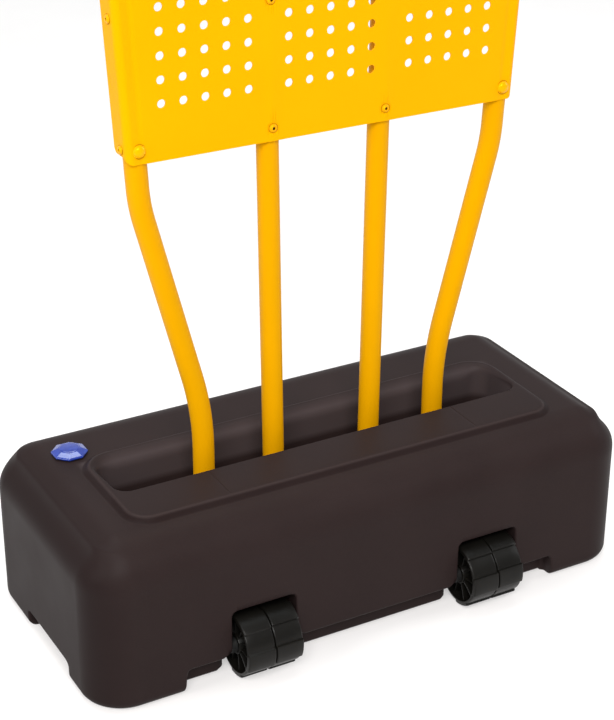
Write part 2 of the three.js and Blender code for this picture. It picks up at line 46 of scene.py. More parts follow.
# ------------------------------------------------------------------ numbers
L2, W2, H = 387.0, 175.0, 220.7
CORNER_R, SHOULDER_R, FOOT_R = 56.0, 58.0, 14.0
PAD_Z, PAD_CX, PAD_X, PAD_Y0, PAD_Y1, PAD_R = 227.3, -4.0, 300.0, -117.0, 53.0, 27.0
SLOT_X, SLOT_Y0, SLOT_Y1, SLOT_R, SLOT_FLOOR = 293.0, -51.3, 36.0, 20.0, 150.0
SOCKET_R, SOCKET_FLOOR = 15.2, 31.0
FOOT_X, END_Y0, END_Y1 = 268.0, -79.0, 52.0
ARCH_Z, END_ARCH_Z, SKIRT_Y, SKIRT_X, BELLY_Z = 35.0, 27.0, 153.0, 366.0, 4.0
WHEEL_X, AXLE_Y, AXLE_Z, WHEEL_R, TREAD_STEP, WHEEL_W = 163.5, -163.0, 44.0, 43.5, 3.0, 76.0
POCKET_HALF, POCKET_Y, POCKET_Z = 44.25, -112.0, 99.0
CAP_X, CAP_Y, NECK_R, CAP_R = -307.0, 81.0, 15.0, 23.5
TUBE_Y, TUBE_R, TUBE_IN = -23.0, 13.6, 11.9
LEG_END, OUT_X, IN_X, IN_SLOPE = 34.5, 169.0, 70.5, 0.0134
SHEET_BACK, SHEET_T, PANEL_Z0, FLANGE_BACK = -36.9, 2.0, 635.3, -5.0
SIDE_SLOPE, SIDE_X, SIDE_Z = 0.055, 245.9, 634.0
SHOULDER_Z, SHOULDER_DEG, NECK_X = 1410.0, 20.0, 101.2
PITCH, HOLE_R, HOLE_Z, HOLE_ROWS = 27.58, 5.2, 702.7, 12
RIVET_Z0, RIVET_STEP = 651.0, 152.0
HEAD_Z, HEAD_R = 1690.0, 100.0

def in_x(z): return IN_X + IN_SLOPE * (z - 215.0)
def side_x(z): return SIDE_X + SIDE_SLOPE * (z - SIDE_Z)

# ------------------------------------------------------------------ mesh helper
def make(name, verts, faces, mats, smooth=True, face_mat=None, normals=None, sharp=None):
    """verts in mm in the tank's own coordinates"""
    v = np.asarray(verts, float).copy()
    v[:, 1] -= MID_Y
    v *= MM
    me = bpy.data.meshes.new(name)
    me.from_pydata([tuple(p) for p in v], [], [tuple(int(i) for i in f) for f in faces])
    me.validate(verbose=False)
    for m in (mats if isinstance(mats, (list, tuple)) else [mats]):
        me.materials.append(m)
    if face_mat is not None:
        me.polygons.foreach_set("material_index", np.asarray(face_mat, dtype=np.int32))
    me.polygons.foreach_set("use_smooth", np.full(len(me.polygons), bool(smooth)))
    me.update()
    if normals is not None:
        me.normals_split_custom_set_from_vertices([tuple(n) for n in normals])
    ob = bpy.data.objects.new(name, me)
    bpy.context.scene.collection.objects.link(ob)
    if sharp is not None:
        with_angle(ob, sharp)
    return ob

def with_angle(ob, deg):
    """mark edges sharper than deg as sharp"""
    me = ob.data
    import bmesh
    bm = bmesh.new(); bm.from_mesh(me)
    lim = math.radians(deg)
    for e in bm.edges:
        e.smooth = not (len(e.link_faces) == 2 and e.calc_face_angle(0) > lim)
    bm.to_mesh(me); bm.free()
    me.update()

def place(ob, body, *nodes, slot=None):
    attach(ob, body)
    if nodes:
        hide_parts(*nodes)
    return ob

# ------------------------------------------------------------------ materials
def srgb(r, g, b):
    f = lambda c: (c / 255.0 / 12.92) if c / 255.0 <= 0.04045 else ((c / 255.0 + 0.055) / 1.055) ** 2.4
    return (f(r), f(g), f(b), 1.0)

class Mat:
    def __init__(self, name):
        self.m = bpy.data.materials.new(name)
        self.m.use_nodes = True
        self.nt = self.m.node_tree
        self.nt.nodes.clear()
        self.out = self.nt.nodes.new("ShaderNodeOutputMaterial")
        self.b = self.nt.nodes.new("ShaderNodeBsdfPrincipled")
        self.nt.links.new(self.b.outputs[0], self.out.inputs[0])
        self.tc = self.nt.nodes.new("ShaderNodeTexCoord")
    def n(self, kind, **kw):
        x = self.nt.nodes.new(kind)
        for k, v in kw.items():
            setattr(x, k, v)
        return x
    def link(self, a, b): self.nt.links.new(a, b)
    def noise(self, scale, detail=4.0, rough=0.55, dist=0.0, vec=None):
        x = self.n("ShaderNodeTexNoise")
        x.inputs["Scale"].default_value = scale
        x.inputs["Detail"].default_value = detail
        x.inputs["Roughness"].default_value = rough
        x.inputs["Distortion"].default_value = dist
        self.link(vec if vec is not None else self.tc.outputs["Object"], x.inputs["Vector"])
        return x
    def ramp(self, src, stops):
        x = self.n("ShaderNodeValToRGB")
        el = x.color_ramp.elements
        while len(el) > 1:
            el.remove(el[-1])
        el[0].position, el[0].color = stops[0][0], stops[0][1]
        for p, c in stops[1:]:
            e = el.new(p); e.color = c
        self.link(src, x.inputs["Fac"])
        return x
    def map(self, src, a, b, c, d):
        x = self.n("ShaderNodeMapRange")
        for i, v in zip(range(1, 5), (a, b, c, d)):
            x.inputs[i].default_value = v
        self.link(src, x.inputs[0])
        return x
    def mix(self, fac, a, b, blend="MIX"):
        x = self.n("ShaderNodeMix", data_type="RGBA", blend_type=blend)
        if isinstance(fac, float): x.inputs[0].default_value = fac
        else: self.link(fac, x.inputs[0])
        for i, v in ((6, a), (7, b)):
            if isinstance(v, tuple): x.inputs[i].default_value = v
            else: self.link(v, x.inputs[i])
        return x.outputs[2]
    def bump(self, height, strength=0.2, distance=0.0004, prev=None):
        x = self.n("ShaderNodeBump")
        x.inputs["Strength"].default_value = strength
        x.inputs["Distance"].default_value = distance
        self.link(height, x.inputs["Height"])
        if prev is not None: self.link(prev, x.inputs["Normal"])
        return x.outputs[0]
    def math(self, op, a, b=None, clamp=False):
        x = self.n("ShaderNodeMath", operation=op, use_clamp=clamp)
        for i, v in ((0, a), (1, b)):
            if v is None: continue
            if isinstance(v, (int, float)): x.inputs[i].default_value = v
            else: self.link(v, x.inputs[i])
        return x.outputs[0]

def mat_tank():
    m = Mat("tank_charcoal_plastic")
    big = m.noise(9.0, 3.0, 0.5)
    col = m.ramp(big.outputs["Fac"], [(0.3, (0.0172, 0.0106, 0.0104, 1)), (0.7, (0.0203, 0.0127, 0.0124, 1))])
    fine = m.noise(900.0, 3.0, 0.6)
    speck = m.map(fine.outputs["Fac"], 0.35, 0.7, 0.0, 1.0)
    c2 = m.mix(m.math("MULTIPLY", speck.outputs[0], 0.10), col.outputs["Color"], srgb(62, 54, 52))
    sep = m.n("ShaderNodeSeparateXYZ"); m.link(m.tc.outputs["Object"], sep.inputs[0])
    below = m.map(sep.outputs[2], 0.2270, 0.2190, 0.0, 1.0)
    above = m.map(sep.outputs[2], 0.1790, 0.1880, 0.0, 1.0)
    yin = m.map(m.math("ABSOLUTE", m.math("SUBTRACT", sep.outputs[1], 0.0125)), 0.0565, 0.0500, 0.0, 1.0)
    xin = m.map(m.math("ABSOLUTE", m.math("ADD", sep.outputs[0], 0.004)), 0.308, 0.298, 0.0, 1.0)
    # painted light: the walls inside the slot are given a lighter colour, standing in for light reaching into the slot
    slot_painted_light = m.math("MULTIPLY", m.math("MULTIPLY", below.outputs[0], above.outputs[0]), m.math("MULTIPLY", yin.outputs[0], xin.outputs[0]))
    c3 = m.mix(m.math("MULTIPLY", slot_painted_light, 0.9), c2, (0.0500, 0.0380, 0.0390, 1))
    # painted highlight: lighter colour along the crest of the raised pad, standing in for its rounded edge catching
    # light
    yy = m.math("ADD", sep.outputs[1], 0.0175)
    rad = m.math("ADD", m.math("MULTIPLY", m.math("GREATER_THAN", yy, 0.0), 0.008), 0.027)
    qx = m.math("ADD", m.math("SUBTRACT", m.math("ABSOLUTE", m.math("ADD", sep.outputs[0], 0.004)), 0.3003), rad)
    qy = m.math("ADD", m.math("SUBTRACT", m.math("ABSOLUTE", yy), 0.0853), rad)
    px = m.math("MAXIMUM", qx, 0.0); py = m.math("MAXIMUM", qy, 0.0)
    ln = m.math("SQRT", m.math("ADD", m.math("MULTIPLY", px, px), m.math("MULTIPLY", py, py)))
    pdist = m.math("SUBTRACT", m.math("ADD", ln, m.math("MINIMUM", m.math("MAXIMUM", qx, qy), 0.0)), rad)
    crest_painted_highlight = m.map(m.math("ABSOLUTE", pdist), 0.0026, 0.0004, 0.0, 1.0)
    up = m.map(sep.outputs[2], 0.2235, 0.2262, 0.0, 1.0)
    # painted shade: a darker band on the pad's sloping flank just outside the crest, standing in for the shade at the
    # foot of the slope
    low = m.map(m.math("ABSOLUTE", m.math("SUBTRACT", pdist, 0.0048)), 0.0042, 0.0022, 0.0, 1.0)
    bank = m.map(sep.outputs[2], 0.2190, 0.2205, 0.0, 1.0)
    slope_painted_shade_col = m.mix(m.math("MULTIPLY", m.math("MULTIPLY", low.outputs[0], bank.outputs[0]), 0.6), c3, (0.0090, 0.0040, 0.0038, 1))
    c4 = m.mix(m.math("MULTIPLY", crest_painted_highlight.outputs[0], up.outputs[0]), slope_painted_shade_col, (0.0290, 0.0195, 0.0190, 1))
    # painted shade: the colour darkens towards both ends of the tank, standing in for less light on the end faces
    ends = m.map(m.math("ABSOLUTE", sep.outputs[0]), 0.335, 0.380, 0.0, 0.6)
    c5 = m.mix(ends.outputs[0], c4, (0.0092, 0.0050, 0.0049, 1))
    m.link(c5, m.b.inputs["Base Color"])
    r = m.map(big.outputs["Fac"], 0.3, 0.7, 0.45, 0.53)
    m.link(r.outputs[0], m.b.inputs["Roughness"])
    grain = m.noise(1500.0, 2.0, 0.5)
    wave = m.noise(14.0, 2.0, 0.4)
    n1 = m.bump(wave.outputs["Fac"], 0.25, 0.0012)
    n2 = m.bump(grain.outputs["Fac"], 0.22, 0.00012, n1)
    m.link(n2, m.b.inputs["Normal"])
    m.b.inputs["Specular IOR Level"].default_value = 0.06
    return m.m

def mat_yellow(name, c0, c1, rough=(0.32, 0.40), peel=0.12, coat=0.25):
    m = Mat(name)
    big = m.noise(6.0, 3.0, 0.5)
    col = m.ramp(big.outputs["Fac"], [(0.3, c0), (0.7, c1)])
    m.link(col.outputs["Color"], m.b.inputs["Base Color"])
    peeln = m.noise(420.0, 3.0, 0.5)
    m.link(m.map(peeln.outputs["Fac"], 0.3, 0.7, rough[0], rough[1]).outputs[0], m.b.inputs["Roughness"])
    m.link(m.bump(peeln.outputs["Fac"], peel, 0.0002), m.b.inputs["Normal"])
    m.b.inputs["Specular Tint"].default_value = (1.0, 0.74, 0.02, 1.0)
    m.b.inputs["Specular IOR Level"].default_value = coat
    return m.m

def mat_black(name, c, rough, grain=900.0, strength=0.15, spec=0.5):
    m = Mat(name)
    big = m.noise(40.0, 3.0, 0.5)
    col = m.ramp(big.outputs["Fac"], [(0.3, c), (0.7, tuple(min(1, x * 1.35) for x in c[:3]) + (1.0,))])
    m.link(col.outputs["Color"], m.b.inputs["Base Color"])
    g = m.noise(grain, 3.0, 0.55)
    m.link(m.map(g.outputs["Fac"], 0.3, 0.7, rough - 0.05, rough + 0.07).outputs[0], m.b.inputs["Roughness"])
    m.link(m.bump(g.outputs["Fac"], strength, 0.00015), m.b.inputs["Normal"])
    m.b.inputs["Specular IOR Level"].default_value = spec
    return m.m

def mat_metal(name, c, rough, stretch=(1, 1, 1)):
    m = Mat(name)
    mp = m.n("ShaderNodeMapping")
    mp.inputs["Scale"].default_value = stretch
    m.link(m.tc.outputs["Object"], mp.inputs["Vector"])
    g = m.noise(300.0, 4.0, 0.6, vec=mp.outputs[0])
    col = m.ramp(g.outputs["Fac"], [(0.3, c), (0.7, tuple(min(1, x * 1.15) for x in c[:3]) + (1.0,))])
    m.link(col.outputs["Color"], m.b.inputs["Base Color"])
    m.link(m.map(g.outputs["Fac"], 0.3, 0.7, rough - 0.06, rough + 0.08).outputs[0], m.b.inputs["Roughness"])
    m.link(m.bump(g.outputs["Fac"], 0.1, 0.0001), m.b.inputs["Normal"])
    m.b.inputs["Metallic"].default_value = 1.0
    return m.m

def mat_blue():
    m = Mat("cap_blue_gloss")
    g = m.noise(160.0, 3.0, 0.5)
    col = m.ramp(g.outputs["Fac"], [(0.3, srgb(18, 42, 126)), (0.7, srgb(26, 54, 146))])
    m.link(col.outputs["Color"], m.b.inputs["Base Color"])
    m.link(m.map(g.outputs["Fac"], 0.3, 0.7, 0.16, 0.24).outputs[0], m.b.inputs["Roughness"])
    m.link(m.bump(g.outputs["Fac"], 0.06, 0.0002), m.b.inputs["Normal"])
    m.b.inputs["Coat Weight"].default_value = 0.8
    m.b.inputs["Coat Roughness"].default_value = 0.08
    return m.m

TANK = mat_tank()
SHEET = mat_yellow("panel_yellow_plastic", (0.72, 0.330, 0.0002, 1), (0.76, 0.345, 0.0004, 1), (0.44, 0.52), 0.05, 0.06)
TUBE = mat_yellow("tube_yellow_powder_coat", (0.60, 0.280, 0.0002, 1), (0.64, 0.294, 0.0004, 1), (0.40, 0.50), 0.16, 0.11)
BUTTON = mat_yellow("button_yellow", (0.74, 0.34, 0.0003, 1), (0.78, 0.355, 0.0005, 1), (0.22, 0.30), 0.05, 0.7)
RIVET = mat_yellow("rivet_yellow_paint", (0.66, 0.30, 0.001, 1), (0.72, 0.325, 0.0012, 1), (0.26, 0.36), 0.1, 0.6)
PLUG = mat_black("plug_black_rubber", srgb(26, 26, 26), 0.62)
WHEEL = mat_black("wheel_black_plastic", (0.0042, 0.0038, 0.0031, 1), 0.36, 700.0, 0.12, 0.17)
SPACER = mat_black("spacer_dark_nylon", srgb(20, 20, 20), 0.55, 900.0, 0.15, 0.25)
SEAL = mat_black("gasket_black_rubber", srgb(22, 22, 22), 0.7)
STEEL = mat_metal("axle_zinc_plate", (0.56, 0.57, 0.60, 1.0), 0.34, (1, 8, 8))
# painted shadow: dark yellow-brown for the thin ring round each rivet and button head, standing in for the shade in the
# gap under the head
RING_PAINTED_SHADOW = mat_yellow("ring_painted_shadow_yellow", (0.40, 0.175, 0.001, 1), (0.46, 0.20, 0.001, 1), (0.5, 0.6), 0.05, 0.05)
# painted shade: the steel mandrel in the hollow centre of each rivet is coloured dark brown, standing in for the shade
# inside the hollow
MANDREL_PAINTED_SHADE = mat_metal("rivet_mandrel_steel_painted_shade", (0.11, 0.055, 0.008, 1.0), 0.6)
BLUE = mat_blue()

# ------------------------------------------------------------------ the tank
def rr(x, y, cx, cy, hx, hy, r):
    qx = np.abs(x - cx) - (hx - r); qy = np.abs(y - cy) - (hy - r)
    return np.hypot(np.maximum(qx, 0), np.maximum(qy, 0)) + np.minimum(np.maximum(qx, qy), 0) - r
def rmax(a, b, r):
    return np.minimum(np.maximum(a, b), -r) + np.hypot(np.maximum(a + r, 0), np.maximum(b + r, 0))
def rmin(a, b, r):
    return np.maximum(np.minimum(a, b), r) - np.hypot(np.maximum(r - a, 0), np.maximum(r - b, 0))
def sstep(t):
    t = np.clip(t, 0, 1)
    return t * t * (3 - 2 * t)

LEGS_X = [-OUT_X, -in_x(LEG_END + 90), in_x(LEG_END + 90), OUT_X]

def tank_sdf(x, y, z):
    d2 = rr(x, y, 0, 0, L2, W2, CORNER_R)
    a1 = d2 + SHOULDER_R; b1 = z - (H - SHOULDER_R)
    px = np.maximum(np.abs(x) - (L2 - CORNER_R), 0); py = np.maximum(np.abs(y) - (W2 - CORNER_R), 0)
    nx2 = px ** 2 / np.maximum(px ** 2 + py ** 2, 1e-6)
    ang = np.degrees(np.arctan2(np.maximum(b1, 0), np.maximum(a1, 1e-6)))
    ang = np.where(b1 > 0, ang, 0.0)
    s1 = np.where(ang < 56, 5.9 * np.sin(np.pi * np.clip(ang / 56, 0, 1) ** 2), 2.7 * np.sin(np.pi * np.clip((90 - ang) / 34, 0, 1) ** 2))
    s1 = np.sqrt(s1 ** 2 + 1.2 ** 2) - 1.2
    top = np.hypot(np.maximum(a1, 0), np.maximum(b1, 0)) + np.minimum(np.maximum(a1, b1), 0) - SHOULDER_R
    top = top + s1 * nx2 * (a1 > 0)
    d = rmax(top, -z, FOOT_R)
    # raised pad round the slot
    pd = rr(x, y, PAD_CX, (PAD_Y0 + PAD_Y1) / 2, PAD_X, (PAD_Y1 - PAD_Y0) / 2, np.where(y > -32, PAD_R + 8, PAD_R))
    pds = 0.5 * (pd + np.sqrt(pd * pd + 1.6 ** 2))
    d = d - (PAD_Z - H) * (1 - np.clip(pds / 9.0, 0, 1)) ** 1.5 * sstep((z - 150) / 40)
    # slot with its floor and the leg sockets
    g = np.clip((PAD_Z - z) / (PAD_Z - SLOT_FLOOR), 0, 1)
    ds = rr(x, y, PAD_CX, (SLOT_Y0 + SLOT_Y1) / 2 - 1.5 * g, SLOT_X - 7 * g, (SLOT_Y1 - SLOT_Y0) / 2 - 2.5 * g, SLOT_R)
    slot = rmax(ds, SLOT_FLOOR - z, 9.0)
    sock = 1e3
    for lx in LEGS_X:
        sock = np.minimum(sock, np.hypot(x - lx, y - TUBE_Y) - SOCKET_R)
    sock = rmax(sock, SOCKET_FLOOR - z, 4.0)
    sock = np.maximum(sock, z - SLOT_FLOOR - 8)
    slot = rmin(slot, sock, 2.5)
    re = 2.0 + 17.0 * sstep((y + 42) / 66) * (1 - 0.62 * sstep((np.abs(x - PAD_CX) - 258) / 34))
    d = rmax(d, -slot, re)
    # recesses between the feet, wheel pockets
    recf = rmax(rmax(np.abs(x) - FOOT_X - 0.12 * (ARCH_Z - z), SKIRT_Y - np.abs(y), 5.0), z - ARCH_Z, 5.0)
    xx = np.abs(x) - WHEEL_X
    pk = rmax(rmax(np.abs(xx) - POCKET_HALF, z - POCKET_Z, 8.0), y - POCKET_Y, 8.0)
    recf = rmin(pk, recf, 13.0)
    d = rmax(d, -recf, 2.4)
    rece = rmax(rmax(np.abs(y - (END_Y0 + END_Y1) / 2) - (END_Y1 - END_Y0) / 2, SKIRT_X - np.abs(x), 5.0), z - END_ARCH_Z, 5.0)
    d = rmax(d, -rece, 2.4)
    belly = rmax(z - BELLY_Z, np.minimum(np.abs(x) - FOOT_X, np.abs(y - (END_Y0 + END_Y1) / 2) - (END_Y1 - END_Y0) / 2), 2.0)
    d = rmax(d, -belly, 1.5)
    # filler neck
    neck = rmax(np.hypot(x - CAP_X, y - CAP_Y) - NECK_R - 0.2, 150 - z, 3.0)
    d = rmax(d, -neck, 1.0)
    # mould seams across the front strip of the pad
    seam = 0.55 * np.exp(-((np.abs(x) - 178.0) / 0.75) ** 2) * sstep((y + 116) / 5) * sstep((-53 - y) / 3) * sstep((z - 222) / 3)
    return d + seam

def lines(*segs):
    out = [segs[0][0]]
    for a, b, st in segs:
        n = max(1, int(round((b - a) / st)))
        out += [a + (b - a) * i / n for i in range(1, n + 1)]
    return np.array(out, float)

def surface_nets(xs, ys, zs, fn):
    F = fn(xs[:, None, None], ys[None, :, None], zs[None, None, :])
    F = np.broadcast_to(F, (len(xs), len(ys), len(zs)))
    S = F < 0
    c = S[:-1, :-1, :-1].astype(np.int8)
    n = np.zeros_like(c)
    for i in (0, 1):
        for j in (0, 1):
            for k in (0, 1):
                n += S[i:i + c.shape[0], j:j + c.shape[1], k:k + c.shape[2]]
    act = (n > 0) & (n < 8)
    I, J, K = np.nonzero(act)
    idx = -np.ones(c.shape, dtype=np.int64); idx[I, J, K] = np.arange(len(I))
    P = np.zeros((len(I), 3)); cnt = np.zeros(len(I))
    G = (xs, ys, zs)
    for ax in range(3):
        o = [a for a in range(3) if a != ax]
        for u in (0, 1):
            for v in (0, 1):
                a = [I.copy(), J.copy(), K.copy()]
                a[o[0]] += u; a[o[1]] += v
                b = [q.copy() for q in a]; b[ax] += 1
                f0 = F[a[0], a[1], a[2]]; f1 = F[b[0], b[1], b[2]]
                m = (f0 < 0) != (f1 < 0)
                t = np.where(m, f0 / np.where(m, f0 - f1, 1), 0)
                p = np.stack([G[q][a[q]] for q in range(3)], 1).astype(float)
                p[:, ax] += t * (G[ax][b[ax]] - G[ax][a[ax]])
                P[m] += p[m]; cnt[m] += 1
    P /= cnt[:, None]
    faces = []
    for ax in range(3):
        sl0 = [slice(None)] * 3; sl1 = [slice(None)] * 3
        sl0[ax] = slice(0, -1); sl1[ax] = slice(1, None)
        A = S[tuple(sl0)]; B = S[tuple(sl1)]
        e = np.stack(np.nonzero(A != B), 1)
        o = [(ax + 1) % 3, (ax + 2) % 3]
        ok = (e[:, o[0]] > 0) & (e[:, o[1]] > 0) & (e[:, o[0]] < F.shape[o[0]] - 1) & (e[:, o[1]] < F.shape[o[1]] - 1)
        e = e[ok]
        ins = A[e[:, 0], e[:, 1], e[:, 2]]
        q = []
        for du, dv in ((-1, -1), (0, -1), (0, 0), (-1, 0)):
            w = e.copy(); w[:, o[0]] += du; w[:, o[1]] += dv
            q.append(idx[w[:, 0], w[:, 1], w[:, 2]])
        q = np.stack(q, 1)
        q[~ins] = q[~ins][:, ::-1]
        faces.append(q)
    return P, np.concatenate(faces)

def grad(fn, P, h=0.25):
    g = np.zeros_like(P)
    for a in range(3):
        p = P.copy(); p[:, a] += h; m = P.copy(); m[:, a] -= h
        g[:, a] = (fn(*p.T) - fn(*m.T)) / (2 * h)
    return g

def build_tank():
    q = 1.27
    half = lines((0, 50, 10 * q), (50, 90, 3.5 * q), (90, 116, 8 * q), (116, 123, 1.3 * q), (123, 151, 8 * q), (151, 176.4, 3.6 * q),
                 (176.4, 179.6, 0.45), (179.6, 186, 3.2 * q), (186, 203, 6 * q), (203, 211, 1.3 * q), (211, 262, 8 * q), (262, 274, 2 * q),
                 (274, 282, 3.2 * q), (282, 316, 1.8 * q), (316, 388.5, 3.2 * q))
    xs = np.concatenate([-half[:0:-1], half])
    ys = lines((-177, -158, 2.4 * q), (-158, -149, 1.8 * q), (-149, -130, 3.2 * q), (-130, -112, 1.5 * q), (-112, -57, 7 * q), (-57, -47, 1.0 * q), (-47, -41, 1.6 * q),
               (-41, 0, 3.4 * q), (0, 22, 4 * q), (22, 64, 1.9 * q), (64, 72, 3 * q), (72, 104, 2.7 * q), (104, 117, 4 * q), (117, 150, 3.4 * q), (150, 158, 1.8 * q), (158, 177, 2.4 * q))
    zs = lines((-2, 18, 2 * q), (18, 40, 1.8 * q), (40, 60, 4 * q), (60, 86, 7 * q), (86, 102, 2 * q), (102, 144, 8 * q), (144, 162, 2 * q), (162, 206, 3.2 * q), (206, 219, 2 * q), (219, 229, 0.9))
    P, Q = surface_nets(xs, ys, zs, tank_sdf)
    for _ in range(4):
        g = grad(tank_sdf, P); f = tank_sdf(*P.T)
        step = g * (f / np.maximum((g ** 2).sum(1), 0.25))[:, None]
        l = np.linalg.norm(step, axis=1)
        step *= np.minimum(1, 3.0 / np.maximum(l, 1e-9))[:, None]
        P = P - step
    g = grad(tank_sdf, P, 0.3)
    N = g / np.maximum(np.linalg.norm(g, axis=1), 1e-9)[:, None]
    ob = make("tank_visual", P, Q, TANK, normals=N)
    return place(ob, "base", "base_tank", slot="tank_plastic")

tank = build_tank()

# ------------------------------------------------------------------ lathes and sweeps
def lathe(profile, axis, centre, n=32, closed=False, rfun=None, mats=None):
    """profile: [(r, a)] along the axis; closed joins the ends, otherwise end rings with r==0 become points"""
    V, F, M = [], [], []
    ids = []
    for i, (r, a) in enumerate(profile):
        row = []
        if r <= 1e-6:
            row = [len(V)]; V.append((0.0, 0.0, a))
        else:
            for j in range(n):
                w = 2 * math.pi * j / n
                rr_ = rfun(i, w, r, a) if rfun else r
                row.append(len(V)); V.append((rr_ * math.cos(w), rr_ * math.sin(w), a))
        ids.append(row)
    m = len(profile)
    for i in range(m if closed else m - 1):
        A, B = ids[i], ids[(i + 1) % m]
        for j in range(n):
            k = (j + 1) % n
            if len(A) == 1 and len(B) == 1: continue
            if len(A) == 1: f = (A[0], B[k], B[j])
            elif len(B) == 1: f = (A[j], A[k], B[0])
            else: f = (A[j], A[k], B[k], B[j])
            F.append(f[::-1] if False else f); M.append(mats[i] if mats else 0)
    V = np.array(V)
    c = np.array(centre, float)
    if axis == "z": W = np.stack([V[:, 0], V[:, 1], V[:, 2]], 1)
    elif axis == "y": W = np.stack([V[:, 1], V[:, 2], V[:, 0]], 1)
    else: W = np.stack([V[:, 2], V[:, 0], V[:, 1]], 1)
    return W + c, F, M

def recalc(ob):
    import bmesh
    bm = bmesh.new(); bm.from_mesh(ob.data)
    bmesh.ops.recalc_face_normals(bm, faces=bm.faces)
    bm.to_mesh(ob.data); bm.free(); ob.data.update()
    return ob

def lathed(name, profile, axis, centre, mat, n=32, closed=False, sharp=35, rfun=None, mats=None):
    V, F, M = lathe(profile, axis, centre, n, closed, rfun, mats)
    ob = make(name, V, F, mat, face_mat=M if mats else None)
    recalc(ob)
    with_angle(ob, sharp)
    return ob

def join_parts(name, parts, mats, sharp=35):
    V, F, M, o = [], [], [], 0
    for v, f, m in parts:
        v = np.asarray(v, float); V.append(v)
        F += [tuple(i + o for i in q) for q in f]
        M += (list(m) if hasattr(m, "__len__") else [m] * len(f)); o += len(v)
    ob = make(name, np.concatenate(V), F, mats, face_mat=M)
    recalc(ob)
    with_angle(ob, sharp)
    return ob

def arc_to(path, corner, nxt, r, seg):
    a = path[-1]
    d0 = np.subtract(corner, a); d1 = np.subtract(nxt, corner)
    u0 = d0 / np.linalg.norm(d0); u1 = d1 / np.linalg.norm(d1)
    ang = math.acos(min(1, float(u0 @ u1)))
    tl = r * math.tan(ang / 2); side = math.copysign(1, u0[0] * u1[1] - u0[1] * u1[0])
    s = np.array(corner) - u0 * tl
    c = s + side * r * np.array([-u0[1], u0[0]])
    for i in range(seg + 1):
        w = side * ang * i / seg
        v = s - c
        path.append([c[0] + v[0] * math.cos(w) - v[1] * math.sin(w), c[1] + v[0] * math.sin(w) + v[1] * math.cos(w)])

def densify(path, step):
    out = [list(path[0])]
    for a, b in zip(path[:-1], path[1:]):
        l = math.dist(a, b); n = max(1, int(l / step))
        for i in range(1, n + 1):
            out.append([a[0] + (b[0] - a[0]) * i / n, a[1] + (b[1] - a[1]) * i / n])
    return out

def ring_frames(path):
    P = np.array(path, float)
    T = np.zeros_like(P)
    d = np.diff(P, axis=0); d /= np.linalg.norm(d, axis=1)[:, None]
    T[0] = d[0]; T[-1] = d[-1]; T[1:-1] = d[:-1] + d[1:]
    T /= np.linalg.norm(T, axis=1)[:, None]
    return P, T

def tube_mesh(path, ro, ri, n=32, cope=None):
    """hollow tube round a path [(x, z)] in the plane y = TUBE_Y; cope(x, y, z) moves the last ring's x"""
    P, T = ring_frames(path)
    V, F = [], []
    m = len(P)
    for r in (ro, ri):
        for i in range(m):
            u = np.array([T[i][1], -T[i][0]])
            for j in range(n):
                w = 2 * math.pi * j / n
                e, y = r * math.cos(w), r * math.sin(w)
                p = [P[i][0] + u[0] * e, TUBE_Y + y, P[i][1] + u[1] * e]
                if cope and i == m - 1:
                    nx = cope(p[0], y, p[2])
                    k = (nx - p[0]) / T[i][0]
                    p = [nx, p[1], p[2] + T[i][1] * k]
                V.append(p)
    def q(o, i, j): return o * m * n + i * n + (j % n)
    for i in range(m - 1):
        for j in range(n):
            F.append((q(0, i, j), q(0, i, j + 1), q(0, i + 1, j + 1), q(0, i + 1, j)))
            F.append((q(1, i, j), q(1, i + 1, j), q(1, i + 1, j + 1), q(1, i, j + 1)))
    for j in range(n):
        F.append((q(0, 0, j), q(1, 0, j), q(1, 0, j + 1), q(0, 0, j + 1)))
        F.append((q(0, m - 1, j), q(0, m - 1, j + 1), q(1, m - 1, j + 1), q(1, m - 1, j)))
    return np.array(V), F, V[(m - 1) * n:m * n]

def bead(curve, r, n=10, wob=0.0):
    """closed bead of radius r along a closed 3-D curve"""
    C = np.array(curve, float); m = len(C)
    V, F = [], []
    mid = C.mean(0)
    for i in range(m):
        t = C[(i + 1) % m] - C[i - 1]; t /= np.linalg.norm(t)
        u = C[i] - mid; u -= t * (u @ t); u /= np.linalg.norm(u)
        v = np.cross(t, u)
        rr_ = r * (1 + wob * math.sin(i * 2 * math.pi * 11 / m))
        for j in range(n):
            w = 2 * math.pi * j / n
            V.append(C[i] + rr_ * (math.cos(w) * u + math.sin(w) * v))
    for i in range(m):
        for j in range(n):
            a, b = i * n + j, i * n + (j + 1) % n
            c, d = ((i + 1) % m) * n + (j + 1) % n, ((i + 1) % m) * n + j
            F.append((a, b, c, d))
    return np.array(V), F, 0

# ------------------------------------------------------------------ tubes
SH = math.radians(SHOULDER_DEG)
shx = side_x(SHOULDER_Z)
neck_z = SHOULDER_Z + (shx - NECK_X) * math.tan(SH)
outer = [[OUT_X, LEG_END]]
arc_to(outer, [OUT_X, 295.0], [242.9, 579.6], 400, 14)
arc_to(outer, [242.9, 579.6], [shx, SHOULDER_Z], 220, 12)
arc_to(outer, [shx, SHOULDER_Z], [NECK_X, neck_z], 85, 18)
outer.append([NECK_X, neck_z])
LEG_TOP = 1495.0
leg = [[in_x(LEG_END), LEG_END], [in_x(LEG_TOP), LEG_TOP]]
loop = [[in_x(LEG_TOP + 0.35), LEG_TOP + 0.35]]
arc_to(loop, [in_x(1515), 1515], [HEAD_R, 1600], 240, 6)
arc_to(loop, [HEAD_R, 1600], [HEAD_R, HEAD_Z], 240, 6)
for i in range(1, 41):
    a = math.pi * i / 40
    loop.append([HEAD_R * math.cos(a), HEAD_Z + HEAD_R * math.sin(a)])
loop = loop + [[-p[0], p[1]] for p in loop[::-1] if p[1] < HEAD_Z - 1e-6]
N_T = 36

def mirror(V): 
    V = np.array(V, float).copy(); V[:, 0] *= -1; return V

def neck_cope(x, y, z):
    return in_x(z) + math.sqrt(max(0.0, (TUBE_R + 0.15) ** 2 - y * y))

